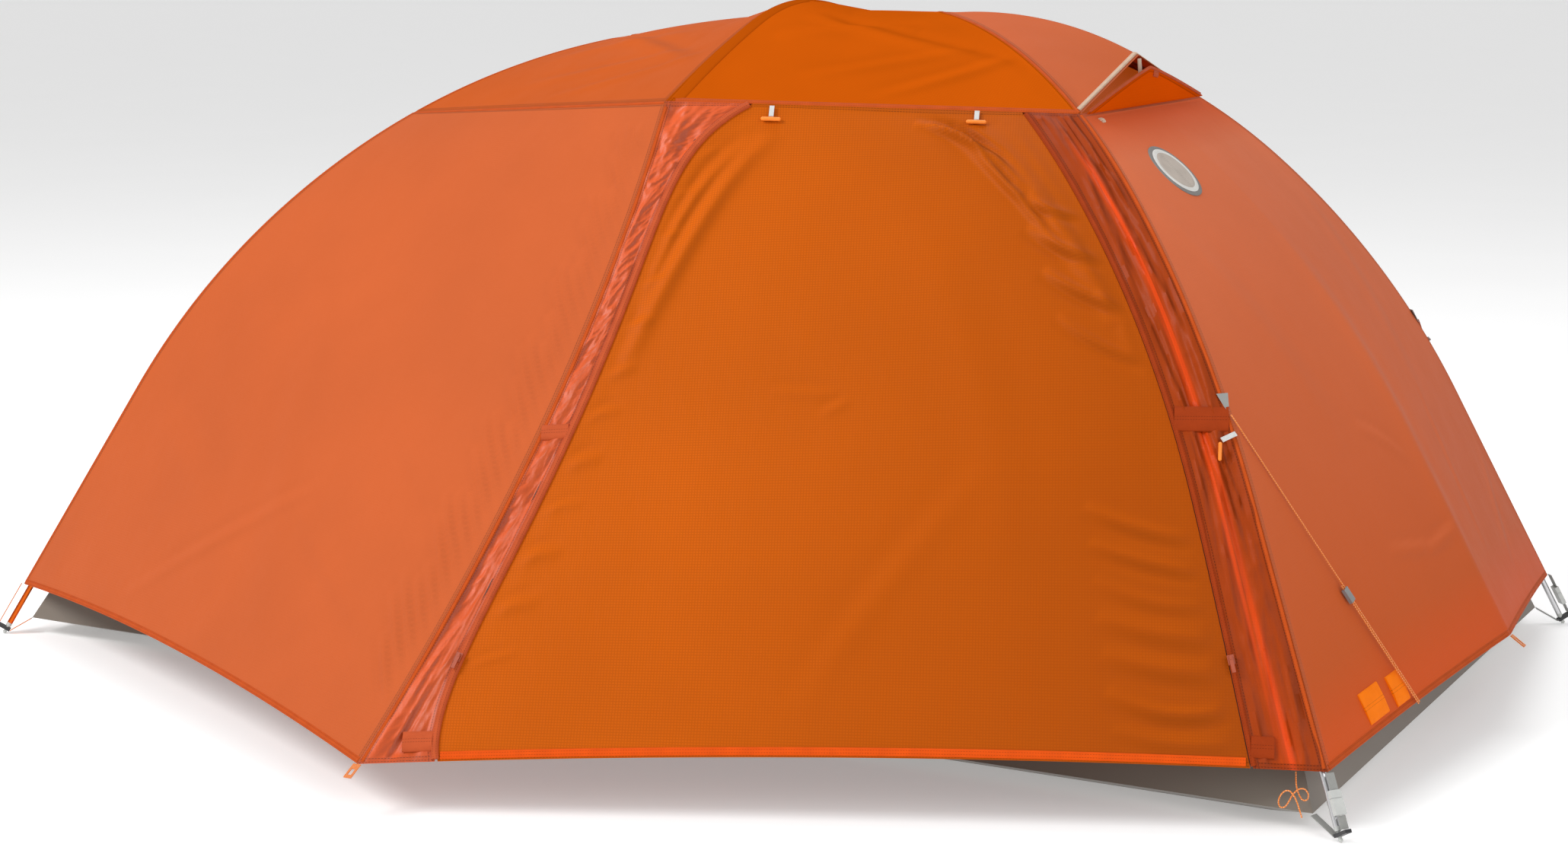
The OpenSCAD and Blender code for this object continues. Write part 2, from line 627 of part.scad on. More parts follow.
module storm_flap_back() { mirror([0, 1, 0]) storm_flap_front(); }
module zip_strip_front() {
    color("sandybrown")
        shell(mesh_of(function (u, v) front_at(lerp(strip_edge(v), 1, u), v), 2, lower_rows));
}
module zip_strip_back() { mirror([0, 1, 0]) zip_strip_front(); }
module door_front() {
    color("orange") shell(mesh_of(function (u, v) door_at(u, v), 6, 16));
}
module door_back() { mirror([0, 1, 0]) door_front(); }

module vent_hood() {
    color("coral") shell(mesh_of(function (u, v) hood_at(u, v), 4, upper_rows));
}
module vent_mesh() {
    color("dimgray") shell(mesh_of(function (u, v) vent_mesh_at(u, v), 4, 4), thick = 1.5);
}
// The strut props the hood up; it pivots at its foot and folds back under the hood
strut_foot = [door_top[0] + 1, 0, door_top[2] + 3];
strut_len = norm(hood_tip - strut_foot) - 5;
module vent_strut() {
    color("beige") place(strut_foot, hood_tip - strut_foot, [1, 0, 0]) {
        translate([4, -7, -0.8]) cube([strut_len - 4, 14, 1.6]);
        rotate([90, 0, 0]) translate([0, 0, -7]) cylinder(r = 2, h = 14);
        translate([0, -7, -0.8]) cube([5, 14, 1.6]);
    }
}

// ---- zips and toggles --------------------------------------------------------------------------
// A slider rides just outside the cloth, on the gap between the door and its neighbour
slider = [9, 13, 4];
slider_lift = 5;
function front_normal(u, v) =
    unit(cross(front_at(u, v + 0.02) - front_at(u, v - 0.02),
               front_at(u + 0.02, v) - front_at(u - 0.02, v)));
module zip_slider(u, v, u_up, v_up) {
    p = front_at(u, v) + slider_lift * front_normal(u, v);
    q = front_at(u_up, v_up) + slider_lift * front_normal(u_up, v_up);
    color("dimgray") place(p, q - p, front_normal(u, v)) {
        translate([-slider[1] / 2, -slider[0] / 2, 0]) cube([slider[1], slider[0], slider[2]]);
        translate([-18, -2.5, slider[2] + 0.5]) cube([22, 5, 1.5]);
        translate([0, -1.5, slider[2]]) cube([5, 3, 2.5]);
    }
}
zip_low = 0.86;
zip_high = 0.56;
module zip_slider_left_front() {
    zip_slider(flap_edge(zip_low), zip_low, flap_edge(zip_high), zip_high);
}
module zip_slider_right_front() {
    zip_slider(strip_edge(zip_low), zip_low, strip_edge(zip_high), zip_high);
}
module zip_slider_left_back() { mirror([0, 1, 0]) zip_slider_left_front(); }
module zip_slider_right_back() { mirror([0, 1, 0]) zip_slider_right_front(); }

// Two toggles under the door's top seam, each on a short strap
toggle_places = [0.26, 0.75];
seam_dir = unit(door_top - brow_corner);
function toggle_fall(k) = unit(front_at(toggle_places[k], 0.03) - front_at(toggle_places[k], 0));
function toggle_out(k) = unit(cross(toggle_fall(k), seam_dir));
strap_drop = 18;
function toggle_at(k) =
    lerp(brow_corner, door_top, toggle_places[k]) + 6 * toggle_fall(k) + 4 * toggle_out(k);
module at_toggle(k) {
    place(toggle_at(k), seam_dir, toggle_out(k)) children();
}
module rollup_webbing_front() {
    color("white") for (k = [0, 1]) at_toggle(k)
        translate([-3.5, -strap_drop, 0]) cube([7, strap_drop, 1.5]);
}
module rollup_webbing_back() { mirror([0, 1, 0]) rollup_webbing_front(); }
module toggle_bar(len, r) {
    half = len / 2 - r;
    translate([-half, 0, 0]) rotate([0, 90, 0]) cylinder(r = r, h = 2 * half);
    for (x = [-1, 1]) translate([x * half, 0, 0]) sphere(r = r);
}
module toggle(k) {
    color("orange") at_toggle(k) translate([0, -strap_drop - 4.5, 0.8]) {
        toggle_bar(30, 3);
        translate([-4, 0, -1.2]) cube([8, 3.1, 2.4]);
    }
}
module toggle_foot_front() { toggle(0); }
module toggle_head_front() { toggle(1); }
module toggle_foot_back() { mirror([0, 1, 0]) toggle(0); }
module toggle_head_back() { mirror([0, 1, 0]) toggle(1); }

// The side toggle holds the door when it is rolled to the head end
side_toggle_d = 1020;
side_at = fly_leg(HEAD, side_toggle_d);
side_out = unit(front_normal(0.96, 0.5) + leg_out(HEAD, side_toggle_d));
function side_strap_end() = side_at + 5 * side_out + [-14, -18, -8];
module side_toggle_front() {
    color("orange") translate(side_strap_end() + [-1, -3, -1]) {
        rotate([0, 0, 20]) translate([0, 0, -14]) rotate([0, 90, 0]) toggle_bar(26, 2.6);
    }
}
module side_toggle_back() { mirror([0, 1, 0]) side_toggle_front(); }
module webbing_loops() {
    color("white") both_sides()
        strap(side_at + 3 * side_out, side_strap_end(), side_out, 7, 1.2);
}

// ---- stake loops and guy patches -----------------------------------------------------------------
module loop_strap(p, q, z_dir, w, inner_w, t) {
    len = norm(q - p);
    place(p, q - p, z_dir) translate([0, -w / 2, 0]) difference() {
        cube([len, w, t]);
        translate([len * 0.35, (w - inner_w) / 2, -1]) cube([len * 0.45, inner_w, t + 2]);
    }
}
module stake_loops() {
    out = unit([0, -1, -0.5]);
    color("orange") both_sides()
        loop_strap(vest_corner + 1 * out, vest_corner + 28 * out, [0, 0, 1], 12, 6, 1.5);
    color("gray") for (s = [1, -1])
        let (p = [s * (end_x + 1), 0, end_z - 1], q = [s * (end_x + 22), 0, end_z - 16])
        loop_strap(p, q, [0, 0, 1], 12, 6, 1.5);
}
guy_d = 975;
module guy_patches() {
    color("gray") both_sides()
        place(leg_point(HEAD, guy_d, fly_off + 0.6), leg_down(HEAD, guy_d), leg_out(HEAD, guy_d))
        linear_extrude(1) polygon([[-16, -9], [10, -2], [10, 2], [-16, 9]]);
}

// ---- corners -------------------------------------------------------------------------------------
// Along a leg's last straight: the tip lock, the floor strap, and the fly's strap with its buckle
lock_up = 11;
strap_off = 15;
lock = [28, 10, 5];
buckle = [22, 17, 7];
buckle_low = 34;
tongue_len = 12;
prong_t = 2;
webbing_w = 12;
webbing_t = 1.2;
webbing_in = 4.4;
function near_foot(end, up, off) = leg_point(end, leg_lens[end] - up, off);
module at_foot(end, up, off) {
    d = leg_lens[end] - up;
    place(leg_point(end, d, off), -leg_down(end, d), leg_out(end, d)) children();
}
module tip_locks() {
    color("black") both_sides() for (end = [HEAD, FOOT]) at_foot(end, lock_up, 0) difference() {
        translate([-lock[2] / 2, -lock[1] / 2, -6]) cube([lock[2], lock[1], lock[0]]);
        rotate([0, 90, 0]) translate([0, 0, -5]) cylinder(r = tip_waist_r + 0.1, h = 10);
    }
}
// Straps from the floor's corner to the tip lock, and from the tip lock up to the fly
module floor_strap(end) {
    p = tub_foot[end] + [sign(tub_foot[end][0]) * 1, -1, floor_lift - 2];
    q = near_foot(end, lock_up, -8);
    strap(p, q, [0, 0, 1], webbing_w, webbing_t);
}
module corner_straps_head() {
    color("gray") both_sides() {
        floor_strap(HEAD);
        strap(near_foot(HEAD, lock_up + 4, strap_off), near_foot(HEAD, buckle_low - 1, strap_off),
              leg_out(HEAD, leg_lens[HEAD]), webbing_w, webbing_t);
        strap(near_foot(HEAD, buckle_low + buckle[0] + 5, strap_off),
              near_foot(HEAD, hem_up - 2, strap_off), leg_out(HEAD, leg_lens[HEAD]),
              webbing_w, webbing_t);
    }
}
module corner_straps_foot() {
    color("orange") both_sides() {
        floor_strap(FOOT);
        strap(near_foot(FOOT, lock_up + 4, strap_off), near_foot(FOOT, hem_up - 2, strap_off),
              leg_out(FOOT, leg_lens[FOOT]), webbing_w, webbing_t);
    }
}
// Side-release buckle: a hollow socket, and a tongue with two prongs that slides out of it
module buckle_sockets() {
    color("lightgray") both_sides() at_foot(HEAD, buckle_low, strap_off - webbing_in) difference() {
        translate([0, -buckle[1] / 2, 0]) cube([buckle[0], buckle[1], buckle[2]]);
        translate([4, -buckle[1] / 2 + 2, 1.5])
            cube([buckle[0], buckle[1] - 4, prong_t + 2 * slide_gap]);
    }
}
module buckle_tongue_front() {
    wide = buckle[1] - 4 - 2 * slide_gap;
    color("lightgray") at_foot(HEAD, buckle_low + buckle[0], strap_off - webbing_in) {
        difference() {
            translate([slide_gap, -buckle[1] / 2, 0])
                cube([tongue_len - 1 - slide_gap, buckle[1], buckle[2]]);
            translate([-1, -webbing_w / 2 - slide_gap, webbing_in - slide_gap])
                cube([tongue_len + 2, webbing_w + 2 * slide_gap, webbing_t + 2 * slide_gap]);
        }
        for (s = [-1, 1])
            translate([-15, s * (wide / 2 - 1.5) - 1.5, 1.5 + slide_gap])
                cube([16, 3, prong_t]);
    }
}
module buckle_tongue_back() { mirror([0, 1, 0]) buckle_tongue_front(); }

// ---- cords ---------------------------------------------------------------------------------------
// The guyline runs from the leg to the end panel's hem, doubled below its tensioner
guy_r = 1;
guy_top = leg_point(HEAD, guy_d + 18, fly_off + 5);
guy_hem = end_hem(HEAD, 0.225) + [6, -3, 2];
guy_dir = unit(guy_hem - guy_top);
guy_out = unit(cross(guy_dir, cross([0.75, -0.3, 0.6], guy_dir)));
guy_side = cross(guy_dir, guy_out);
strand = 4;
guy_split = 0.62;
tensioner = [22, 11, 5];
module guyline_front() {
    len = norm(guy_hem - guy_top);
    color("orange") {
        cord([for (k = [0:12]) lerp(guy_top, guy_hem, k / 12)], guy_r, guy_out);
        cord([for (k = [0:6]) lerp(guy_top + guy_dir * (guy_split * len - tensioner[0] / 2 - 6),
                                   guy_hem, k / 6) + strand * guy_side], guy_r, guy_out);
    }
}
module line_tensioner_front() {
    len = norm(guy_hem - guy_top);
    color("dimgray")
        place(guy_top + guy_dir * (guy_split * len) + guy_side * strand / 2, guy_dir, guy_out)
        difference() {
            translate([-tensioner[0] / 2, -tensioner[1] / 2, -tensioner[2] / 2])
                cube(tensioner);
            for (s = [-1, 1]) translate([-tensioner[0], s * strand / 2, 0])
                rotate([0, 90, 0]) cylinder(r = guy_r + slide_gap, h = 2 * tensioner[0]);
        }
}

// A knotted loop of thin cord that hangs from the hem by the front head corner
corner_cord_pts = [[1096, -661, 82], [1097, -664, 74], [1099, -667, 64], [1103, -669, 54],
                   [1109, -670, 47], [1115, -670, 49], [1116, -671, 57], [1111, -672, 63],
                   [1104, -673, 62], [1097, -674, 55], [1092, -675, 45], [1087, -675, 37],
                   [1081, -675, 35], [1078, -676, 41], [1080, -677, 50], [1086, -678, 58],
                   [1093, -679, 60], [1100, -680, 54], [1105, -681, 45], [1109, -682, 35],
                   [1112, -683, 27]];
module corner_cord_front() {
    color("orange") cord(corner_cord_pts, 1, [0.1, 1, 0.05]);
}

ridge_pole();
brow_pole();
leg_pole_head_front();
leg_pole_head_back();
leg_pole_foot_front();
leg_pole_foot_back();
pole_ferrules();
shock_cords();
hub_head();
hub_foot();
brow_connector();
brow_tips();
pole_tips();
pole_clips();
floor_tub();
inner_end_head();
inner_end_foot();
inner_wall_front();
inner_wall_back();
inner_door_front();
inner_door_back();
roof_foot();
roof_brow();
side_panel_front();
side_panel_back();
end_panel_head();
end_panel_foot();
storm_flap_front();
storm_flap_back();
zip_strip_front();
zip_strip_back();
door_front();
door_back();
vent_hood();
vent_mesh();
vent_strut();
zip_slider_left_front();
zip_slider_right_front();
zip_slider_left_back();
zip_slider_right_back();
rollup_webbing_front();
rollup_webbing_back();
toggle_foot_front();
toggle_head_front();
toggle_foot_back();
toggle_head_back();
side_toggle_front();
side_toggle_back();
webbing_loops();
stake_loops();
guy_patches();
corner_straps_head();
corner_straps_foot();
tip_locks();
buckle_sockets();
buckle_tongue_front();
buckle_tongue_back();
guyline_front();
line_tensioner_front();
corner_cord_front();
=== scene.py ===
"""The looks of a two-person frame tent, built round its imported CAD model."""

import math

import bpy
import numpy as np
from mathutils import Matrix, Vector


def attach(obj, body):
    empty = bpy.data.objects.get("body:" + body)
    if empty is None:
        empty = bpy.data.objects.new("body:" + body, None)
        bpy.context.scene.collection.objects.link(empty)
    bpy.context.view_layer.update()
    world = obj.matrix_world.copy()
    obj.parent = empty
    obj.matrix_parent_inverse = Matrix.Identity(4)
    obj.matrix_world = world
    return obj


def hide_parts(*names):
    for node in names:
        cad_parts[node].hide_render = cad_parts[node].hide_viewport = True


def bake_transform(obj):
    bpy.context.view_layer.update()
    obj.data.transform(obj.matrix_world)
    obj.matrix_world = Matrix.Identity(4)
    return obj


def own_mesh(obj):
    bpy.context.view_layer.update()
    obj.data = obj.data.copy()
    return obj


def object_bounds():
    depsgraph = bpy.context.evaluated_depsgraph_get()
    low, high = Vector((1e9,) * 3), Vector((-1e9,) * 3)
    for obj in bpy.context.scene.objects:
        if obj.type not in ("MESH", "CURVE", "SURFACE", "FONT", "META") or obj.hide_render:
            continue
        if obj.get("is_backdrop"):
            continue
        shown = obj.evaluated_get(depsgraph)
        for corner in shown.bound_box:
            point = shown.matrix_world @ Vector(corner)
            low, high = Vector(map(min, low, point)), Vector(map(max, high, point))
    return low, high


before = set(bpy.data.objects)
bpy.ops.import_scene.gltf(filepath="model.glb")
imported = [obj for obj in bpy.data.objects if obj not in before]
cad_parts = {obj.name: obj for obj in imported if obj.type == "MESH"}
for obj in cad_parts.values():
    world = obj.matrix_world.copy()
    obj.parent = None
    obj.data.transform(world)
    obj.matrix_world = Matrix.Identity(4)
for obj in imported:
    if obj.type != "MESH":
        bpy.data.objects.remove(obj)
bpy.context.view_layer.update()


# ---- camera ----
LENS_MM, CAMERA_AT = 67.79, (2.1544, -4.2983, 1.1723)
LOOK_DOWN, LOOK_LEFT = 0.1667, 0.4607


def make_camera():
    """Stands off the front head corner, a little above the tent, and looks along the front."""
    data = bpy.data.cameras.new("camera")
    data.sensor_width = 36.0
    data.lens = LENS_MM
    camera = bpy.data.objects.new("camera", data)
    camera.location = CAMERA_AT
    camera.rotation_euler = (math.pi / 2 - LOOK_DOWN, 0, LOOK_LEFT)
    bpy.context.scene.collection.objects.link(camera)
    bpy.context.scene.camera = camera


make_camera()


# ---- driving dimensions, in metres and degrees, as in the CAD model ----
FLOOR_LEN, FLOOR_W = 2.24, {"head": 1.32, "foot": 1.07}
TUB_TOP = 0.110
TIP_OUT = (0.045, 0.021)
HUB = {"head": np.array([0.300, 0, 1.027]), "foot": np.array([-0.260, 0, 0.982])}
LEG_SLOPES = {"head": (8, 40, 61), "foot": (12, 30, 59)}
UPPER_BEND = {"head": 1.0, "foot": 1.1}
STRAIGHT, RIDGE_BOW = 0.05, 5.4
BROW_X, BROW_HALF, BROW_RISE = 0.058, 0.46, 0.02
BROW_SLOPES, BROW_R = (18, 24.5), 0.6
FLY_OFF, INNER_OFF = 0.0115, 0.034
DOOR_TOP_D, SIDE_SEAM_D, HEM_UP = 0.44, 0.375, 0.092
VEST = np.array([-0.045, -1.144, 0.070])
END_X, END_Z, HOOD_TIP_Z = 1.223, 0.135, 0.977
DOOR_GAP, HUB_GAP = 0.004, 0.006
CENTRE = np.array([0, 0, 0.3])


# ---- the lines that the cloth follows ----
def mix(a, b, t):
    return a + (b - a) * t


def lerp(a, b, t):
    """The point a share t of the way from a to b, for an array of shares."""
    t = np.asarray(t, float)[..., None]
    return np.asarray(a) * (1 - t) + np.asarray(b) * t


def flip(p, side=-1):
    """The mirror image across the tent's middle plane."""
    return p * np.array([1, side, 1])


def sided(w, front_side):
    """Factors that mirror the points where front_side is false."""
    return np.stack([w * 0 + 1, np.where(front_side, 1, -1), w * 0 + 1], -1)


def unit(v):
    return v / np.linalg.norm(v, axis=-1, keepdims=True)


class Curve:
    """A pole's centreline in its own upright plane. slopes are degrees down at each of ends."""

    def __init__(self, level, height, ends, slopes):
        self.length = ends[-1]
        self.d = np.linspace(0, self.length, 4001)
        self.slope = np.radians(np.interp(self.d, ends, slopes))
        middle = (self.slope[1:] + self.slope[:-1]) / 2
        step = self.d[1]
        self.level = level + np.concatenate([[0], np.cumsum(step * np.cos(middle))])
        self.height = height - np.concatenate([[0], np.cumsum(step * np.sin(middle))])

    def at(self, d, off):
        slope = np.interp(d, self.d, self.slope)
        return (np.interp(d, self.d, self.level) + off * np.sin(slope),
                np.interp(d, self.d, self.height) + off * np.cos(slope))


class Leg:
    """A leg pole from its hub to its tip on the ground, on the front side."""

    def __init__(self, end):
        sign = 1 if end == "head" else -1
        self.hub = HUB[end]
        tip = np.array([sign * (FLOOR_LEN / 2 + TIP_OUT[0]), -FLOOR_W[end] / 2 - TIP_OUT[1], 0])
        level = (tip - self.hub) * (1, 1, 0)
        reach = np.linalg.norm(level)
        self.dir = level / reach
        a0, a1, a2 = np.radians(LEG_SLOPES[end])
        r1 = UPPER_BEND[end]
        s = reach - STRAIGHT * math.cos(a0) - r1 * (math.sin(a1) - math.sin(a0))
        z = self.hub[2] - STRAIGHT * math.sin(a0) - r1 * (math.cos(a0) - math.cos(a1))
        m, n = math.sin(a2) - math.sin(a1), math.cos(a1) - math.cos(a2)
        det = m * math.sin(a2) - math.cos(a2) * n
        r2 = (s * math.sin(a2) - math.cos(a2) * z) / det
        last = (m * z - n * s) / det
        ends = np.cumsum([0, STRAIGHT, r1 * (a1 - a0), r2 * (a2 - a1), last])
        self.curve = Curve(0, self.hub[2], ends, np.degrees([a0, a0, a1, a2, a2]))
        self.length = ends[-1]

    def point(self, d, off):
        d = np.asarray(d, float)
        level, height = self.curve.at(d, off)
        level = np.maximum(level, 0) * np.minimum(1, d / 0.03)
        height = height + (off - off * math.cos(self.curve.slope[0])) * np.clip(1 - d / 0.03, 0, 1)
        flat = self.hub * (1, 1, 0) + level[..., None] * self.dir
        return flat + height[..., None] * np.array([0, 0, 1.0])


LEG = {"head": Leg("head"), "foot": Leg("foot")}
tilt = math.degrees(math.atan2(HUB["head"][2] - HUB["foot"][2], HUB["head"][0] - HUB["foot"][0]))
chord = np.linalg.norm(HUB["head"] - HUB["foot"])
ridge_r = (chord / 2 - STRAIGHT * math.cos(math.radians(RIDGE_BOW))) / math.sin(math.radians(RIDGE_BOW))
ridge_ends = np.cumsum([0, STRAIGHT, ridge_r * math.radians(2 * RIDGE_BOW), STRAIGHT])
RIDGE = Curve(HUB["foot"][0], HUB["foot"][2], ridge_ends,
              [-tilt - RIDGE_BOW, -tilt - RIDGE_BOW, RIDGE_BOW - tilt, RIDGE_BOW - tilt])
RIDGE_CROSS = (BROW_X - HUB["foot"][0]) / math.cos(math.radians(tilt + 1))


def ridge_point(d, off):
    level, height = RIDGE.at(d, off)
    return np.stack([level, level * 0, height], -1)


def make_brow():
    bend, end = np.radians(BROW_SLOPES)
    r2 = (BROW_HALF - BROW_R * math.sin(bend)) / (math.sin(end) - math.sin(bend))
    top = ridge_point(RIDGE_CROSS, 0)[2] + BROW_RISE
    tip = top - BROW_R * (1 - math.cos(bend)) - r2 * (math.cos(bend) - math.cos(end))
    ends = np.cumsum([0, r2 * (end - bend), BROW_R * 2 * bend, r2 * (end - bend)])
    return Curve(-BROW_HALF, tip, ends, np.degrees([-end, -bend, bend, end]))


BROW = make_brow()


def brow_point(d, off):
    level, height = BROW.at(d, off)
    return np.stack([level * 0 + BROW_X, level, height], -1)


APEX = brow_point(BROW.length / 2, FLY_OFF)
BROW_CORNER = brow_point(0.0, FLY_OFF)


def fly_leg(end, d):
    return LEG[end].point(d, FLY_OFF)


HEM_D = {end: LEG[end].length - HEM_UP for end in LEG}
DOOR_TOP = fly_leg("head", DOOR_TOP_D)
SIDE_TOP = fly_leg("foot", SIDE_SEAM_D)
FLY_CORNER = {end: fly_leg(end, HEM_D[end]) for end in LEG}
END_CORNER = {"head": np.array([END_X, 0, END_Z]), "foot": np.array([-END_X, 0, END_Z])}
HOOD_TIP = np.array([DOOR_TOP[0] - 0.006, 0, HOOD_TIP_Z])


def bowed(a, b, t, bow):
    """From a to b, raised in the middle by bow."""
    t = np.asarray(t, float)
    return lerp(a, b, t) + 4 * (t * (1 - t))[..., None] * np.asarray(bow)


def ridge_to_foot(u):
    on_pole = ridge_point(np.minimum(u / 0.8, 1) * (RIDGE_CROSS - 0.06), FLY_OFF)
    return lerp(on_pole, APEX, np.clip((u - 0.8) / 0.2, 0, 1))


def ridge_to_head(u):
    start = RIDGE_CROSS + 0.095
    on_pole = ridge_point(start + np.clip((u - 0.4) / 0.6, 0, 1) * (RIDGE.length - start), FLY_OFF)
    return lerp(APEX, on_pole, np.clip(u / 0.4, 0, 1))


def brow_line(v):
    return brow_point(BROW.length / 2 * (1 - v), FLY_OFF)


def vest_seam(v):
    return bowed(BROW_CORNER, VEST, v, (0.025, 0.040, 0))


def side_hem(u):
    return bowed(FLY_CORNER["foot"], VEST, u, (0, 0, 0.025))


def front_hem(u):
    return bowed(VEST, FLY_CORNER["head"], u, (0, 0, 0.014))


def end_hem(end, u):
    w = 1 - np.abs(2 * u - 1)
    corner = FLY_CORNER[end] * sided(w, u < 0.5)
    up = (0.02 * w * (1 - w))[..., None] * np.array([0, 0, 1])
    return lerp(corner, END_CORNER[end], w) + up


def coons(top, bottom, left, right, u, v):
    """A smooth surface through four edges that meet at their corners."""
    zero, one = np.zeros_like(u), np.ones_like(u)
    corners = (top(zero) * ((1 - u) * (1 - v))[..., None] + top(one) * (u * (1 - v))[..., None]
               + bottom(zero) * ((1 - u) * v)[..., None] + bottom(one) * (u * v)[..., None])
    across = top(u) * (1 - v)[..., None] + bottom(u) * v[..., None]
    along = left(v) * (1 - u)[..., None] + right(v) * u[..., None]
    return across + along - corners


# ---- the cloth's surfaces: u runs along the tent or across an end, v runs down ----
def mirrored(half):
    """A roof panel over both sides: v from 0 at the back edge to 1 at the front edge."""
    def whole(u, v):
        w = 2 * v - 1
        return half(u, np.abs(w)) * sided(w, w >= 0)
    return whole


def roof_foot(u, v):
    return coons(ridge_to_foot, lambda t: lerp(SIDE_TOP, BROW_CORNER, t),
                 lambda t: fly_leg("foot", t * SIDE_SEAM_D), brow_line, u, v)


def roof_brow(u, v):
    return coons(ridge_to_head, lambda t: lerp(BROW_CORNER, DOOR_TOP, t),
                 brow_line, lambda t: fly_leg("head", t * DOOR_TOP_D), u, v)


def side_panel(u, v):
    return coons(lambda t: lerp(SIDE_TOP, BROW_CORNER, t), side_hem,
                 lambda t: fly_leg("foot", SIDE_SEAM_D + t * (HEM_D["foot"] - SIDE_SEAM_D)),
                 vest_seam, u, v)


def front(u, v):
    return coons(lambda t: lerp(BROW_CORNER, DOOR_TOP, t), front_hem, vest_seam,
                 lambda t: fly_leg("head", DOOR_TOP_D + t * (HEM_D["head"] - DOOR_TOP_D)), u, v)


def flap_edge(v):
    return 0.036 + 0.02 * (1 - v) + 0.15 * (1 - v) ** 16 + 0.045 * v ** 12


def strip_edge(v):
    return 0.925 - 0.06 * (1 - v) ** 3


def front_width(v):
    return np.linalg.norm(front(v * 0 + 1, v) - front(v * 0, v), axis=-1)


def door(u, v):
    gap = DOOR_GAP / front_width(v)
    left, right = flap_edge(v) + gap, strip_edge(v) - gap
    return front(left + (right - left) * u, v)


def between_legs(leg, bottom):
    """A surface from a leg to its mirror image, level along its top."""
    a = leg(np.zeros(()))

    def surface(u, v):
        return coons(lambda t: lerp(a, flip(a), t), bottom, leg, lambda t: flip(leg(t)), u, v)
    return surface


def end_panel(end, top):
    return between_legs(lambda t: fly_leg(end, top + t * (HEM_D[end] - top)), lambda t: end_hem(end, t))


end_head = end_panel("head", DOOR_TOP_D)
end_foot = end_panel("foot", HUB_GAP)


def hood_mouth(u):
    w = 1 - np.abs(2 * u - 1)
    return DOOR_TOP * sided(w, u < 0.5) * (1 - w)[..., None] + HOOD_TIP * w[..., None]


hood = between_legs(lambda t: fly_leg("head", HUB_GAP + t * (DOOR_TOP_D - HUB_GAP)), hood_mouth)


def vent_mesh(u, v):
    edge = fly_leg("head", 0.07 + v * (DOOR_TOP_D - 0.078)) + (0, 0.014, -0.009)
    return lerp(edge, flip(edge), u)


def inner_leg(end, v):
    leg = LEG[end]
    foot_slope = math.radians(LEG_SLOPES[end][2])
    low = leg.length - (TUB_TOP + INNER_OFF * math.cos(foot_slope)) / math.sin(foot_slope)
    return leg.point(low * v, -INNER_OFF)


TUB = {end: inner_leg(end, np.ones(())) for end in LEG}


def inner_wall(u, v):
    return coons(lambda t: ridge_point(RIDGE.length * t, -INNER_OFF),
                 lambda t: lerp(TUB["foot"], TUB["head"], t),
                 lambda t: inner_leg("foot", t), lambda t: inner_leg("head", t), u, v)


INNER_DOOR_U, INNER_DOOR_V = (4 / 12, 8 / 12), (0.5, 0.9)


def inner_door(u, v):
    gap_u, gap_v = DOOR_GAP / 0.9, DOOR_GAP
    return inner_wall(INNER_DOOR_U[0] + gap_u + u * (INNER_DOOR_U[1] - INNER_DOOR_U[0] - 2 * gap_u),
                      INNER_DOOR_V[0] + gap_v + v * (INNER_DOOR_V[1] - INNER_DOOR_V[0] - 2 * gap_v))


def inner_end(end):
    return between_legs(lambda t: inner_leg(end, 0.02 + 0.98 * t),
                        lambda t: lerp(TUB[end], flip(TUB[end]), t))


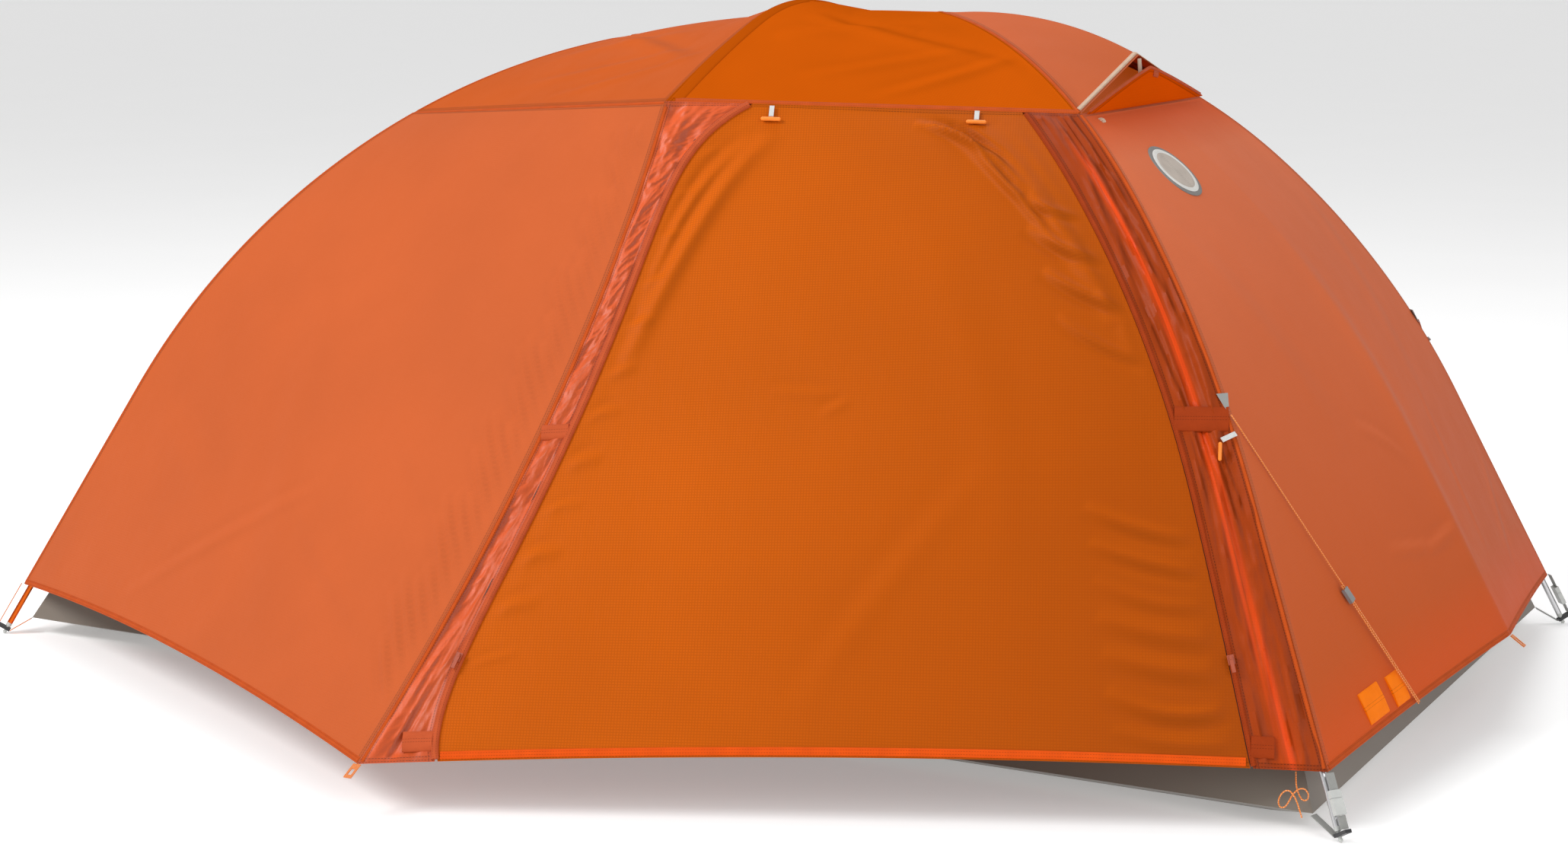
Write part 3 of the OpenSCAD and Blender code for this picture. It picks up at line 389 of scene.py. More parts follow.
# ---- shading ----
class Shader:
    """A node material, with short calls for the nodes that the materials share."""

    def __init__(self, name, roughness=0.5, sheen=0.0, metallic=0.0, coat=0.0):
        self.mat = bpy.data.materials.new(name)
        self.mat.use_nodes = True
        self.tree = self.mat.node_tree
        self.bsdf = self.tree.nodes["Principled BSDF"]
        self.bsdf.inputs["Roughness"].default_value = roughness
        self.bsdf.inputs["Metallic"].default_value = metallic
        self.bsdf.inputs["Coat Weight"].default_value = coat
        self.bsdf.inputs["Sheen Weight"].default_value = sheen
        self.bsdf.inputs["Sheen Roughness"].default_value = 0.4

    def node(self, kind, inputs, **settings):
        made = self.tree.nodes.new("ShaderNode" + kind)
        for key, value in settings.items():
            setattr(made, key, value)
        for key, value in inputs.items():
            if isinstance(value, bpy.types.NodeSocket):
                self.tree.links.new(value, made.inputs[key])
            else:
                made.inputs[key].default_value = value
        return made

    def math(self, operation, *values, clamp=False):
        inputs = dict(enumerate(values))
        return self.node("Math", inputs, operation=operation, use_clamp=clamp).outputs[0]

    def times(self, a, b):
        return self.math("MULTIPLY", a, b)

    def step(self, value, low, high):
        """0 below low, 1 above high."""
        inputs = {"Value": value, "From Min": low, "From Max": high}
        return self.node("MapRange", inputs).outputs["Result"]

    def line(self, value, middle, half):
        """1 where value is within half of middle."""
        away = self.math("ABSOLUTE", self.math("SUBTRACT", value, middle))
        return self.math("LESS_THAN", away, half)

    def dash(self, value, pitch, share):
        turns = self.math("FRACT", self.math("DIVIDE", value, pitch))
        return self.math("LESS_THAN", turns, share)

    def attribute(self, name):
        vector = self.node("Attribute", {}, attribute_name=name).outputs["Vector"]
        return vector, self.node("SeparateXYZ", {0: vector}).outputs

    def place(self):
        return self.node("TexCoord", {}).outputs["Object"]

    def stretched(self, vector, scale, turn=0.0):
        return self.node("Mapping", {"Vector": vector, "Rotation": (0, 0, turn), "Scale": scale}).outputs[0]

    def noise(self, vector, scale, detail=3.0, roughness=0.5):
        inputs = {"Vector": vector, "Scale": scale, "Detail": detail, "Roughness": roughness}
        return self.node("TexNoise", inputs).outputs["Fac"]

    def mix(self, factor, a, b):
        a, b = [(*c, 1.0) if isinstance(c, tuple) else c for c in (a, b)]
        return self.node("Mix", {0: factor, 6: a, 7: b}, data_type="RGBA").outputs[2]

    def bump(self, height, distance, strength=1.0, under=None):
        inputs = {"Height": height, "Distance": distance, "Strength": strength}
        if under is not None:
            inputs["Normal"] = under
        return self.node("Bump", inputs).outputs["Normal"]

    def finish(self, colour, normal=None, roughness=None, glow=0.0):
        """glow is the share of the light that comes through the cloth from behind."""
        links = self.tree.links
        links.new(colour, self.bsdf.inputs["Base Color"])
        if normal is not None:
            links.new(normal, self.bsdf.inputs["Normal"])
        if roughness is not None:
            links.new(roughness, self.bsdf.inputs["Roughness"])
        if glow > 0:
            through = self.node("BsdfTranslucent", {"Color": colour})
            mixed = self.node("MixShader", {0: glow, 1: self.bsdf.outputs[0], 2: through.outputs[0]})
            links.new(mixed.outputs[0], self.tree.nodes["Material Output"].inputs["Surface"])
        return self.mat


def tinted(colour, factor):
    return tuple(min(1.0, c * factor) for c in colour)


STITCH, STITCH_SHARE = 0.0042, 0.64


def cloth_material(name, colour, grid=0.004, grid_depth=0.10, roughness=0.45, sheen=0.25,
                   glow=0.12, crinkle=0.35, shine=0.25, band=0.8, painted_shade=None, toward=None, under=None,
                   painted_streak=None):
    """Coated ripstop: a square grid of thicker threads, soft crinkles, stitched seam bands.
    Painted light and shade: the colour turns to painted_shade along toward = (axis, from, to), and to under
    within
    0.115 m of the top and bottom seams, a painted shadow meant for the top under the vent hood. The fold
    attribute paints light and shade on the folds, and painted_streak paints a stripe, lighter on the zip
    strip and darker on the flap, where the tone attribute says so."""
    s = Shader(name, roughness, sheen)
    s.bsdf.inputs["Specular IOR Level"].default_value = shine
    weave, at = s.attribute("weave")
    _, seam = s.attribute("seam")
    ribs = s.math("MAXIMUM", s.dash(at[0], grid, 0.30), s.dash(at[1], grid, 0.30))
    threads = s.noise(s.stretched(weave, (1, 4, 1)), 1500.0, 1.0)
    cloud = s.noise(weave, 3.0, 2.0)
    patch = s.noise(weave, 14.0, 3.0)
    base = s.mix(cloud, tinted(colour, 0.86), tinted(colour, 1.12))
    if painted_shade:
        # painted shade: the colour darkens to painted_shade along one object axis, for light that falls off
        # across the panel
        xyz = s.node("SeparateXYZ", {0: s.place()}).outputs
        base = s.mix(s.step(xyz[toward[0]], toward[1], toward[2]), base, painted_shade)
        # painted shadow: near the top and bottom seams the colour turns to under, for the shade below the
        # vent hood
        if under:
            base = s.mix(s.step(seam[2], 0.115, 0.03), base, under)
    # painted light and shade on the folds: paler where a fold faces LIGHT, darker where it turns away
    _, fold = s.attribute("fold")
    base = s.mix(s.math("MULTIPLY", fold[0], 0.60, clamp=True), base, tinted(colour, 1.40))
    base = s.mix(s.math("MULTIPLY", fold[0], -0.75, clamp=True), base, tinted(colour, 0.42))
    # painted light and shade: a stripe along the cloth, a painted glow on the zip strip and painted shade
    # on the flap
    if painted_streak:
        vector, tone = s.attribute("tone")
        thread = s.noise(s.stretched(vector, (0.0, 12.0, 1.1)), 1.0, 3.0, 0.6)
        amount = s.times(tone[0], s.step(thread, 0.25, 0.60))
        base = s.mix(amount, base, painted_streak)
    base = s.mix(s.times(patch, 0.16), base, tinted(colour, 0.72))
    base = s.mix(s.times(ribs, grid_depth), base, tinted(colour, 0.45))
    base = s.mix(s.times(threads, 0.10), base, tinted(colour, 1.35))
    in_band = s.math("MAXIMUM", s.math("LESS_THAN", seam[0], 0.009), s.math("LESS_THAN", seam[2], 0.009))
    base = s.mix(s.times(in_band, band * 0.5), base, tinted(colour, 0.60))
    along = s.times(s.dash(seam[1], STITCH, STITCH_SHARE),
                   s.math("MAXIMUM", s.line(seam[0], 0.0025, 0.0005), s.line(seam[0], 0.0075, 0.0005)))
    across = s.times(s.dash(at[0], STITCH, STITCH_SHARE),
                    s.math("MAXIMUM", s.line(seam[2], 0.0025, 0.0005), s.line(seam[2], 0.0075, 0.0005)))
    stitch = s.math("MAXIMUM", along, across)
    base = s.mix(s.times(stitch, 0.75), base, tinted(colour, 0.22))
    soft = s.noise(s.stretched(weave, (1.0, 0.45, 1.0), 0.5), 38.0, 3.0, 0.55)
    fine = s.noise(s.stretched(weave, (1.0, 0.30, 1.0), 0.35), 130.0, 2.0, 0.5)
    height = s.math("ADD", s.times(soft, 1.0), s.times(fine, 0.25))
    normal = s.bump(height, 0.004, crinkle)
    normal = s.bump(s.math("SUBTRACT", ribs, stitch), 0.0002, 0.5, normal)
    rough = s.math("ADD", s.times(patch, 0.16), roughness - 0.08)
    return s.finish(base, normal, rough, glow)


def binding_material(name, colour):
    """Folded tape: cross ribs, two rows of stitches and a slightly worn edge."""
    s = Shader(name, 0.7, 0.02)
    s.bsdf.inputs["Specular IOR Level"].default_value = 0.08
    weave, at = s.attribute("weave")
    ribs = s.math("SINE", s.times(at[1], 2 * math.pi / 0.0012))
    rows = s.math("MAXIMUM", s.line(at[0], 0.0022, 0.0004), s.line(at[0], -0.0022, 0.0004))
    stitch = s.times(rows, s.dash(at[1], 0.0036, 0.62))
    cloud = s.noise(weave, 40.0, 3.0)
    base = s.mix(cloud, tinted(colour, 0.78), tinted(colour, 1.15))
    base = s.mix(s.times(stitch, 0.7), base, tinted(colour, 0.4))
    height = s.math("ADD", s.times(ribs, 0.4), s.times(cloud, 3.0))
    return s.finish(base, s.bump(height, 0.0003, 0.6))


def webbing_material(name, colour):
    """Woven webbing: a herringbone of flat yarns."""
    s = Shader(name, 0.7, 0.35)
    place = s.place()
    xyz = s.node("SeparateXYZ", {0: place}).outputs
    across = s.math("SINE", s.times(s.math("ADD", xyz[0], xyz[1]), 2 * math.pi / 0.0016))
    along = s.math("SINE", s.times(s.math("SUBTRACT", xyz[2], xyz[0]), 2 * math.pi / 0.0011))
    yarn = s.times(across, along)
    cloud = s.noise(place, 90.0, 3.0)
    base = s.mix(s.step(yarn, -1.0, 1.0), tinted(colour, 0.7), tinted(colour, 1.1))
    base = s.mix(s.times(cloud, 0.3), base, tinted(colour, 0.6))
    return s.finish(base, s.bump(yarn, 0.0003, 0.7))


def plastic_material(name, colour, roughness=0.38):
    """Moulded plastic: a fine grain, slight mottling and paler scuffs."""
    s = Shader(name, roughness)
    place = s.place()
    grain = s.noise(place, 2600.0, 2.0)
    cloud = s.noise(place, 60.0, 3.0)
    scuff = s.step(s.noise(place, 420.0, 4.0, 0.7), 0.62, 0.78)
    base = s.mix(cloud, tinted(colour, 0.85), tinted(colour, 1.12))
    base = s.mix(s.times(scuff, 0.25), base, tinted(colour, 1.7))
    rough = s.math("ADD", s.times(scuff, 0.2), roughness)
    return s.finish(base, s.bump(grain, 0.0002, 0.35), rough)


def metal_material(name, colour, roughness=0.3):
    """Anodised tube: fine lines along it, small handling marks."""
    s = Shader(name, roughness, 0.0, 1.0)
    place = s.place()
    lines = s.noise(s.stretched(place, (60, 60, 3)), 40.0, 2.0)
    marks = s.step(s.noise(place, 240.0, 5.0, 0.7), 0.60, 0.75)
    base = s.mix(lines, tinted(colour, 0.85), tinted(colour, 1.1))
    base = s.mix(s.times(marks, 0.3), base, tinted(colour, 0.6))
    rough = s.math("ADD", s.times(marks, 0.2), roughness)
    return s.finish(base, s.bump(lines, 0.0001, 0.3), rough)


def braid_material(name, colour, accent, pitch=0.006):
    """Braided cord: crossing diagonal yarns with a fleck of a second colour."""
    s = Shader(name, 0.6, 0.4)
    place = s.place()
    xyz = s.node("SeparateXYZ", {0: place}).outputs
    slope = s.math("ADD", s.math("ADD", xyz[0], xyz[1]), xyz[2])
    twist = s.math("SUBTRACT", s.math("ADD", xyz[0], xyz[1]), xyz[2])
    one = s.math("SINE", s.times(slope, 2 * math.pi / pitch))
    two = s.math("SINE", s.times(twist, 2 * math.pi / pitch))
    yarn = s.times(one, two)
    base = s.mix(s.step(yarn, -0.6, 0.8), tinted(colour, 0.65), colour)
    base = s.mix(s.times(s.math("GREATER_THAN", yarn, 0.72), 0.7), base, accent)
    return s.finish(base, s.bump(yarn, 0.0004, 0.8))


def mesh_material(name, colour, glow):
    """See-through netting, drawn as dark threads over a paler ground that the light comes through."""
    s = Shader(name, 0.8, 0.2)
    weave, at = s.attribute("weave")
    threads = s.math("MAXIMUM", s.dash(at[0], 0.0018, 0.35), s.dash(at[1], 0.0018, 0.35))
    cloud = s.noise(weave, 8.0, 2.0)
    base = s.mix(threads, tinted(colour, 2.2), colour)
    base = s.mix(s.times(cloud, 0.3), base, tinted(colour, 0.7))
    # painted glow: the emission, used for the netting under the hood, stands in for light coming through
    # the hood's cloth
    s.bsdf.inputs["Emission Color"].default_value = (*colour, 1)
    s.bsdf.inputs["Emission Strength"].default_value = glow
    return s.finish(base, s.bump(threads, 0.0003, 0.7))


SALMON, ROOF = (0.55, 0.102, 0.019), (0.62, 0.104, 0.003)
OCHRE, FLAP = (0.56, 0.104, 0.003), (0.64, 0.092, 0.016)
side_cloth = cloth_material("fly_side", SALMON, grid_depth=0.04, crinkle=0.16, sheen=0.03, roughness=0.6,
                          shine=0.18)
foot_roof_cloth = cloth_material("fly_roof_foot", (0.545, 0.092, 0.007), grid_depth=0.04, crinkle=0.14,
                                 sheen=0.0, roughness=0.6, shine=0.10)
# painted light and shade: the pale pink base is partly the cloth's own colour and partly a painted sheen;
# it turns to a painted shade towards the bottom, and to a painted shadow near the seams
end_cloth = cloth_material("fly_end", (0.71, 0.166, 0.062), grid_depth=0.04, crinkle=0.16, sheen=0.03,
                           roughness=0.6, shine=0.14, painted_shade=(0.52, 0.076, 0.001), toward=(2, 0.95, 0.15),
                           under=(0.62, 0.074, 0.001))
# painted shade: the end panel's top under the hood is a deeper, more saturated orange for the shadow the
# hood casts
lip_shaded_cloth = cloth_material("fly_shaded_under_hood", (0.68, 0.082, 0.001), grid_depth=0.05, crinkle=0.16, sheen=0.0,
                           shine=0.0)
roof_cloth = cloth_material("fly_roof_front", ROOF, crinkle=0.12, sheen=0.0, grid_depth=0.08, shine=0.0,
                            glow=0.25)
# painted shade: the door darkens towards larger x, its right side in view, as the light falls off
door_cloth = cloth_material("fly_door", OCHRE, grid_depth=0.30, crinkle=0.14, sheen=0.0, glow=0.12,
                            shine=0.05, painted_shade=(0.30, 0.049, 0.001), toward=(0, 0.25, 1.15))
# the flap's painted_streak colour is painted shade
flap_cloth = cloth_material("fly_flap", FLAP, grid_depth=0.05, roughness=0.40, shine=0.35, sheen=0.05,
                            glow=0.18, crinkle=0.25, painted_streak=(0.50, 0.075, 0.010))
# the zip strip's painted_streak colour is a painted glow of light coming through the cloth
strip_cloth = cloth_material("fly_strip", (0.36, 0.046, 0.003), grid_depth=0.05, roughness=0.42, shine=0.12,
                             sheen=0.0, glow=0.2, crinkle=0.25, painted_streak=(0.86, 0.075, 0.006))
tub_cloth = cloth_material("floor_cloth", (0.235, 0.200, 0.165), grid_depth=0.12, roughness=0.5,
                           glow=0.0, shine=0.2)
inner_cloth = cloth_material("inner_cloth", (0.60, 0.56, 0.50), grid_depth=0.10, roughness=0.6, glow=0.15)
net = mesh_material("netting", (0.12, 0.11, 0.10), 0.0)
# painted light: an orange-brown colour and an emission for the light that comes through the hood's cloth
vent_net = mesh_material("netting_under_hood", (0.30, 0.055, 0.004), 0.8)
tape = binding_material("binding_pink", (0.47, 0.080, 0.024))
seam_tape = binding_material("binding_seam", (0.47, 0.068, 0.008))
band_tape = binding_material("binding_band", (0.30, 0.036, 0.004))
pale_tape = binding_material("binding_beige", (0.62, 0.44, 0.32))
hem_tape = binding_material("hem_orange", (0.66, 0.075, 0.003))
# painted light: a bright orange for where light comes through the end panel by its hem
lit_patch_cloth = binding_material("patch_orange", (1.0, 0.19, 0.0))
white_web = webbing_material("webbing_white", (0.74, 0.74, 0.72))
grey_web = webbing_material("webbing_grey", (0.36, 0.36, 0.34))
orange_web = webbing_material("webbing_orange", (0.86, 0.22, 0.02))
black_plastic = plastic_material("plastic_black", (0.022, 0.022, 0.024))
grey_plastic = plastic_material("plastic_grey", (0.50, 0.51, 0.49), 0.42)
dark_plastic = plastic_material("plastic_dark", (0.22, 0.22, 0.22), 0.4)
orange_plastic = plastic_material("plastic_orange", (0.86, 0.22, 0.015), 0.4)
beige_plastic = plastic_material("plastic_beige", (0.60, 0.46, 0.33), 0.45)
silver = metal_material("pole_silver", (0.66, 0.66, 0.67))
orange_metal = metal_material("pole_orange", (0.70, 0.12, 0.012))
hidden_plastic = plastic_material("plastic_red", (0.34, 0.055, 0.016), 0.5)
steel = metal_material("ferrule_grey", (0.34, 0.34, 0.35), 0.35)
orange_braid = braid_material("cord_orange", (0.92, 0.24, 0.02), (0.95, 0.62, 0.35))
black_braid = braid_material("cord_black", (0.02, 0.02, 0.02), (0.1, 0.1, 0.1))


# ---- meshes ----
def smooth(x, low, high):
    t = np.clip((x - low) / (high - low), 0, 1)
    return t * t * (3 - 2 * t)


def new_object(name, points, faces, material, flat_angle=50):
    mesh = bpy.data.meshes.new(name)
    mesh.from_pydata(np.asarray(points).tolist(), [], faces)
    mesh.polygons.foreach_set("use_smooth", [True] * len(mesh.polygons))
    mesh.set_sharp_from_angle(angle=math.radians(flat_angle))
    mesh.materials.append(material)
    obj = bpy.data.objects.new(name, mesh)
    bpy.context.scene.collection.objects.link(obj)
    return obj


def store(obj, name, values):
    """A vector for each point, which the materials read by name."""
    made = obj.data.attributes.new(name, "FLOAT_VECTOR", "POINT")
    made.data.foreach_set("vector", np.asarray(values, np.float32).ravel())


def shell_faces(keep):
    """Faces of a closed sheet: the kept cells of an outer grid, of an inner grid, and the rim."""
    columns = keep.shape[1] + 1
    total = (keep.shape[0] + 1) * columns
    kept = np.pad(keep, 1)
    faces = []
    for i, j in np.argwhere(keep).tolist():
        a = i * columns + j
        cell = (a, a + columns, a + columns + 1, a + 1)
        faces.append(cell)
        faces.append(tuple(k + total for k in cell[::-1]))
        beside = (kept[i + 1, j], kept[i + 2, j + 1], kept[i + 1, j + 2], kept[i, j + 1])
        for k in range(4):
            if not beside[k]:
                p, q = cell[k], cell[(k + 1) % 4]
                faces.append((q, p, p + total, q + total))
    return faces


# the direction of the light that the cloth's fold shading is painted for
LIGHT = unit(np.array([-0.55, -0.35, 0.75]))


def normals_of(p):
    n = np.cross(np.gradient(p, axis=0), np.gradient(p, axis=1))
    n = unit(n)
    outward = np.sum(n * (p - CENTRE)) < 0
    return -n if outward else n


def stops(count, length, band):
    """Even steps from 0 to 1, with two more by each end so that a seam band's edge is crisp."""
    t = np.linspace(0, 1, count + 1)
    near = band / length
    t = t[(t == 0) | (t == 1) | ((t > 1.7 * near) & (t < 1 - 1.7 * near))]
    edges = np.array([0.85, 1.15]) * near
    return np.sort(np.concatenate([t, edges, 1 - edges]))


def waves(x, y, length, seed, count=5):
    """Smooth random swells between -1 and 1, about length across."""
    r = np.random.default_rng(seed)
    total = 0 * x
    for _ in range(count):
        angle, phase, size = r.uniform(0, 2 * math.pi), r.uniform(0, 2 * math.pi), r.uniform(0.7, 1.5)
        along = (x * math.cos(angle) + y * math.sin(angle)) * 2 * math.pi / (length * size)
        total = total + np.sin(along + phase)
    return total / count


def crumple(x, y, length, seed):
    """Sharp-edged creases between -1 and 1, as in crushed thin nylon."""
    total, weight = 0 * x, 0
    for k in range(3):
        size = length * 0.62 ** k
        warp = waves(x, y, size * 2.2, seed + 7 * k, 3)
        ridge = 1 - 2 * np.abs(waves(x + 0.35 * size * warp, y - 0.35 * size * warp, size, seed + k))
        total = total + (2 * ridge - 1) * 0.6 ** k
        weight += 0.6 ** k
    return total / weight


def folds_of(p, normal, surface, folds):
    """Height that the folds add. A fold is (start uv, end uv, width, height, bend), in metres."""
    height = np.zeros(p.shape[:-1])
    for (u0, v0), (u1, v1), width, tall, bend in folds:
        t = np.linspace(0, 1, 9)
        path = surface(u0 + (u1 - u0) * t, v0 + (v1 - v0) * t)
        across = unit(np.cross(normal[len(normal) // 2, len(normal[0]) // 2], path[-1] - path[0]))
        path = path + (4 * bend * t * (1 - t))[:, None] * across
        best = np.full(p.shape[:-1], 1e9)
        side, share = np.zeros_like(best), np.zeros_like(best)
        for k in range(len(t) - 1):
            step = path[k + 1] - path[k]
            s = np.clip((p - path[k]) @ step / (step @ step), 0, 1)
            away = p - path[k] - s[..., None] * step
            d = np.linalg.norm(away, axis=-1)
            nearer = d < best
            best = np.where(nearer, d, best)
            side = np.where(nearer, away @ across, side)
            share = np.where(nearer, (k + s) / (len(t) - 1), share)
        fade = np.sin(math.pi * np.clip(share, 0.0, 1)) ** 0.7
        profile = np.exp(-(side / width) ** 2) - 0.55 * np.exp(-((side - 1.5 * width) / width) ** 2)
        near_line = np.exp(-np.maximum(best - np.abs(side), 0) ** 2 / (width * width))
        height = height + tall * fade * profile * near_line
    return height


def cloth(name, surface, cell, material, node, body, seams="lrtb", folds=(), swell=0.002,
          swell_len=0.35, extra=None, seed=1, side=1, thick=0.0007, band=0.009,
          ease=0.05, hole=None, tone=None):
    """A sheet of cloth on a surface. seams names its sewn edges: left, right, top and bottom."""
    g = np.linspace(0, 1, 41)
    u, v = np.meshgrid(g, g, indexing="ij")
    rough = surface(u, v)
    width = np.linalg.norm(np.diff(rough, axis=0), axis=-1).sum(0).max()
    height = np.linalg.norm(np.diff(rough, axis=1), axis=-1).sum(1).max()
    us = stops(max(4, round(width / cell)), width, band)
    vs = stops(max(4, round(height / cell)), height, band)
    if hole:
        us, vs = np.union1d(us, hole[:2]), np.union1d(vs, hole[2:])
    u, v = np.meshgrid(us, vs, indexing="ij")
    p = surface(u, v)
    normal = normals_of(p)
    run_u = np.concatenate([np.zeros((1, len(vs))),
                            np.cumsum(np.linalg.norm(np.diff(p, axis=0), axis=-1), axis=0)])
    run_v = np.concatenate([np.zeros((len(us), 1)),
                            np.cumsum(np.linalg.norm(np.diff(p, axis=1), axis=-1), axis=1)], axis=1)
    far = np.full(u.shape, 9.0)
    left = run_u if "l" in seams else far
    right = run_u[-1:] - run_u if "r" in seams else far
    top = run_v if "t" in seams else far
    bottom = run_v[:, -1:] - run_v if "b" in seams else far
    seam_u, seam_v = np.minimum(left, right), np.minimum(top, bottom)
    edges = (run_u, run_u[-1:] - run_u, run_v, run_v[:, -1:] - run_v)
    free = smooth(np.minimum.reduce(edges), 0.003, ease)
    x_axis = unit(p[-1, len(vs) // 2] - p[0, len(vs) // 2])
    y_axis = unit(np.cross(normal[len(us) // 2, len(vs) // 2], x_axis))
    x, y = p @ x_axis, p @ y_axis
    height_map = swell * waves(x, y, swell_len, seed) + folds_of(p, normal, surface, folds)
    if extra is not None:
        height_map = height_map + extra(u, v, run_u, run_v)
    height_map = height_map * free
    raised = 0.0006 * (1 - smooth(np.minimum(seam_u, seam_v), 0.85 * band, 1.15 * band))
    inward = unit(CENTRE - p)
    outer = p + (height_map + raised)[..., None] * normal
    inner = outer + thick * inward
    points = np.concatenate([outer.reshape(-1, 3), inner.reshape(-1, 3)])
    keep = np.ones((len(us) - 1, len(vs) - 1), bool)
    if hole:
        in_u = (us[:-1] >= hole[0] - 1e-9) & (us[1:] <= hole[1] + 1e-9)
        in_v = (vs[:-1] >= hole[2] - 1e-9) & (vs[1:] <= hole[3] + 1e-9)
        keep &= ~(in_u[:, None] & in_v[None])
    faces = shell_faces(keep)
    if (np.sum(np.cross(np.gradient(p, axis=0), np.gradient(p, axis=1)) * normal) > 0) == (side < 0):
        faces = [f[::-1] for f in faces]
    obj = new_object(name, flip(points, side), faces, material)
    for label, values in (("weave", (x, y, 0 * x)), ("seam", (seam_u, run_v, seam_v))):
        flat = np.stack(values, -1).reshape(-1, 3)
        store(obj, label, np.concatenate([flat, flat]))
    # painted light and shade: how far the folds turn each point towards LIGHT, kept as the fold attribute
    fold_light_shade = np.clip(3.0 * ((normals_of(p + height_map[..., None] * normal) - normal) @ LIGHT), -1, 1)
    store(obj, "fold", np.repeat(np.tile(fold_light_shade.reshape(-1), 2), 3))
    # where the painted stripe of light and shade goes
    if tone is not None:
        flat = np.stack([tone(u, v), u, v], -1).reshape(-1, 3)
        store(obj, "tone", np.concatenate([flat, flat]))
    if body:
        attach(obj, body)
    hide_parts(node)
    # the cloth simply follows this surface, since the real cutting pattern is not known
    return obj


def ribbon(name, centre, normal, width, tall, material, body, side=1, crown=0.5):
    """A strip along centre, width across and tall above it, with a crowned outer face."""
    centre, normal = np.asarray(centre), np.asarray(normal)
    along = unit(np.gradient(centre, axis=0))
    across = unit(np.cross(along, normal))
    t = np.array([-0.5, -0.46, -0.25, 0, 0.25, 0.46, 0.5])
    lift = np.array([0, 0.6, 0.6 + 0.4 * crown, 1, 0.6 + 0.4 * crown, 0.6, 0])
    outer = centre[:, None] + across[:, None] * (t * width)[None, :, None] \
        + normal[:, None] * (lift * tall)[None, :, None]
    inner = centre[:, None] + across[:, None] * (t * width)[None, :, None] \
        - normal[:, None] * 0.0003
    points = np.concatenate([outer.reshape(-1, 3), inner.reshape(-1, 3)])
    faces = shell_faces(np.ones((len(centre) - 1, len(t) - 1), bool))
    if side > 0:
        faces = [f[::-1] for f in faces]
    obj = new_object(name, flip(points, side), faces, material, 70)
    run = np.concatenate([[0], np.cumsum(np.linalg.norm(np.diff(centre, axis=0), axis=-1))])
    flat = np.stack(np.broadcast_arrays((t * width)[None, :], run[:, None], 0 * run[:, None]), -1)
    store(obj, "weave", np.concatenate([flat.reshape(-1, 3)] * 2))
    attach(obj, body)
    return obj


def tube(name, points, radius, material, sides=10):
    """A round tube along points, closed at both ends."""
    points = np.asarray(points, float)
    along = unit(np.gradient(points, axis=0))
    x = unit(np.cross(along, [0.31, 0.17, 0.93]))
    y = np.cross(x, along)
    turn = np.linspace(0, 2 * math.pi, sides, endpoint=False)
    rings = points[:, None] + radius * (np.cos(turn)[None, :, None] * x[:, None]
                                        + np.sin(turn)[None, :, None] * y[:, None])
    count = len(points)
    faces = [(i * sides + k, i * sides + (k + 1) % sides, (i + 1) * sides + (k + 1) % sides,
              (i + 1) * sides + k) for i in range(count - 1) for k in range(sides)]
    faces += [tuple(range(sides - 1, -1, -1)), tuple((count - 1) * sides + k for k in range(sides))]
    return new_object(name, rings.reshape(-1, 3), faces, material)


def resample(points, step):
    """A smooth curve through points, with even steps."""
    points = np.asarray(points, float)
    knots = np.concatenate([[0], np.cumsum(np.linalg.norm(np.diff(points, axis=0), axis=1))])
    padded = np.concatenate([[2 * points[0] - points[1]], points, [2 * points[-1] - points[-2]]])
    out = []
    for d in np.linspace(0, knots[-1], max(2, int(knots[-1] / step))):
        k = min(np.searchsorted(knots, d, side="right") - 1, len(points) - 2)
        t = (d - knots[k]) / (knots[k + 1] - knots[k])
        a, b, c, e = padded[k:k + 4]
        out.append(0.5 * (2 * b + (c - a) * t + (2 * a - 5 * b + 4 * c - e) * t ** 2
                          + (3 * b - a - 3 * c + e) * t ** 3))
    return np.array(out)


# ---- free cords, before the cloth ----
CORD_R = 0.001


def free_cord(name, points, node):
    obj = tube(name, points, CORD_R, orange_braid)
    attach(obj, "tent")
    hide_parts(node)


GUY_TOP = np.array([0.947438, -0.509717, 0.520976])
GUY_HEM = np.array([1.18217, -0.365797, 0.115022])
GUY_DIR = unit(GUY_HEM - GUY_TOP)
GUY_OUT = np.array([0.874971, -0.238413, 0.421409])
GUY_SIDE = np.cross(GUY_DIR, GUY_OUT)
free_cord("guyline_main", lerp(GUY_TOP, GUY_HEM, np.linspace(0, 1, 60)),
          "guyline_front")
free_cord("guyline_return", lerp(GUY_TOP + 0.2871 * GUY_DIR, GUY_HEM, np.linspace(0, 1, 40))
          + 0.004 * GUY_SIDE, "guyline_front")
CORNER_CORD = 0.001 * np.array([
    [1096, -661, 82], [1097, -664, 74], [1099, -667, 64], [1103, -669, 54], [1109, -670, 47],
    [1115, -670, 49], [1116, -671, 57], [1111, -672, 63], [1104, -673, 62], [1097, -674, 55],
    [1092, -675, 45], [1087, -675, 37], [1081, -675, 35], [1078, -676, 41], [1080, -677, 50],
    [1086, -678, 58], [1093, -679, 60], [1100, -680, 54], [1105, -681, 45], [1109, -682, 35],
    [1112, -683, 27]])
free_cord("corner_cord_loop", resample(CORNER_CORD, 0.0025), "corner_cord_front")


# ---- the fly's panels ----
roof_foot_all, roof_brow_all = mirrored(roof_foot), mirrored(roof_brow)


def fan(starts, ends, width, tall, bend=0.0):
    """Folds that run from places on one line to places on another."""
    r = np.random.default_rng(len(starts) * 7 + int(1000 * width))
    return [(a, b, width * r.uniform(0.7, 1.3), tall * r.uniform(0.6, 1.3), bend * r.uniform(0.2, 1.8))
            for a, b in zip(starts, ends)]


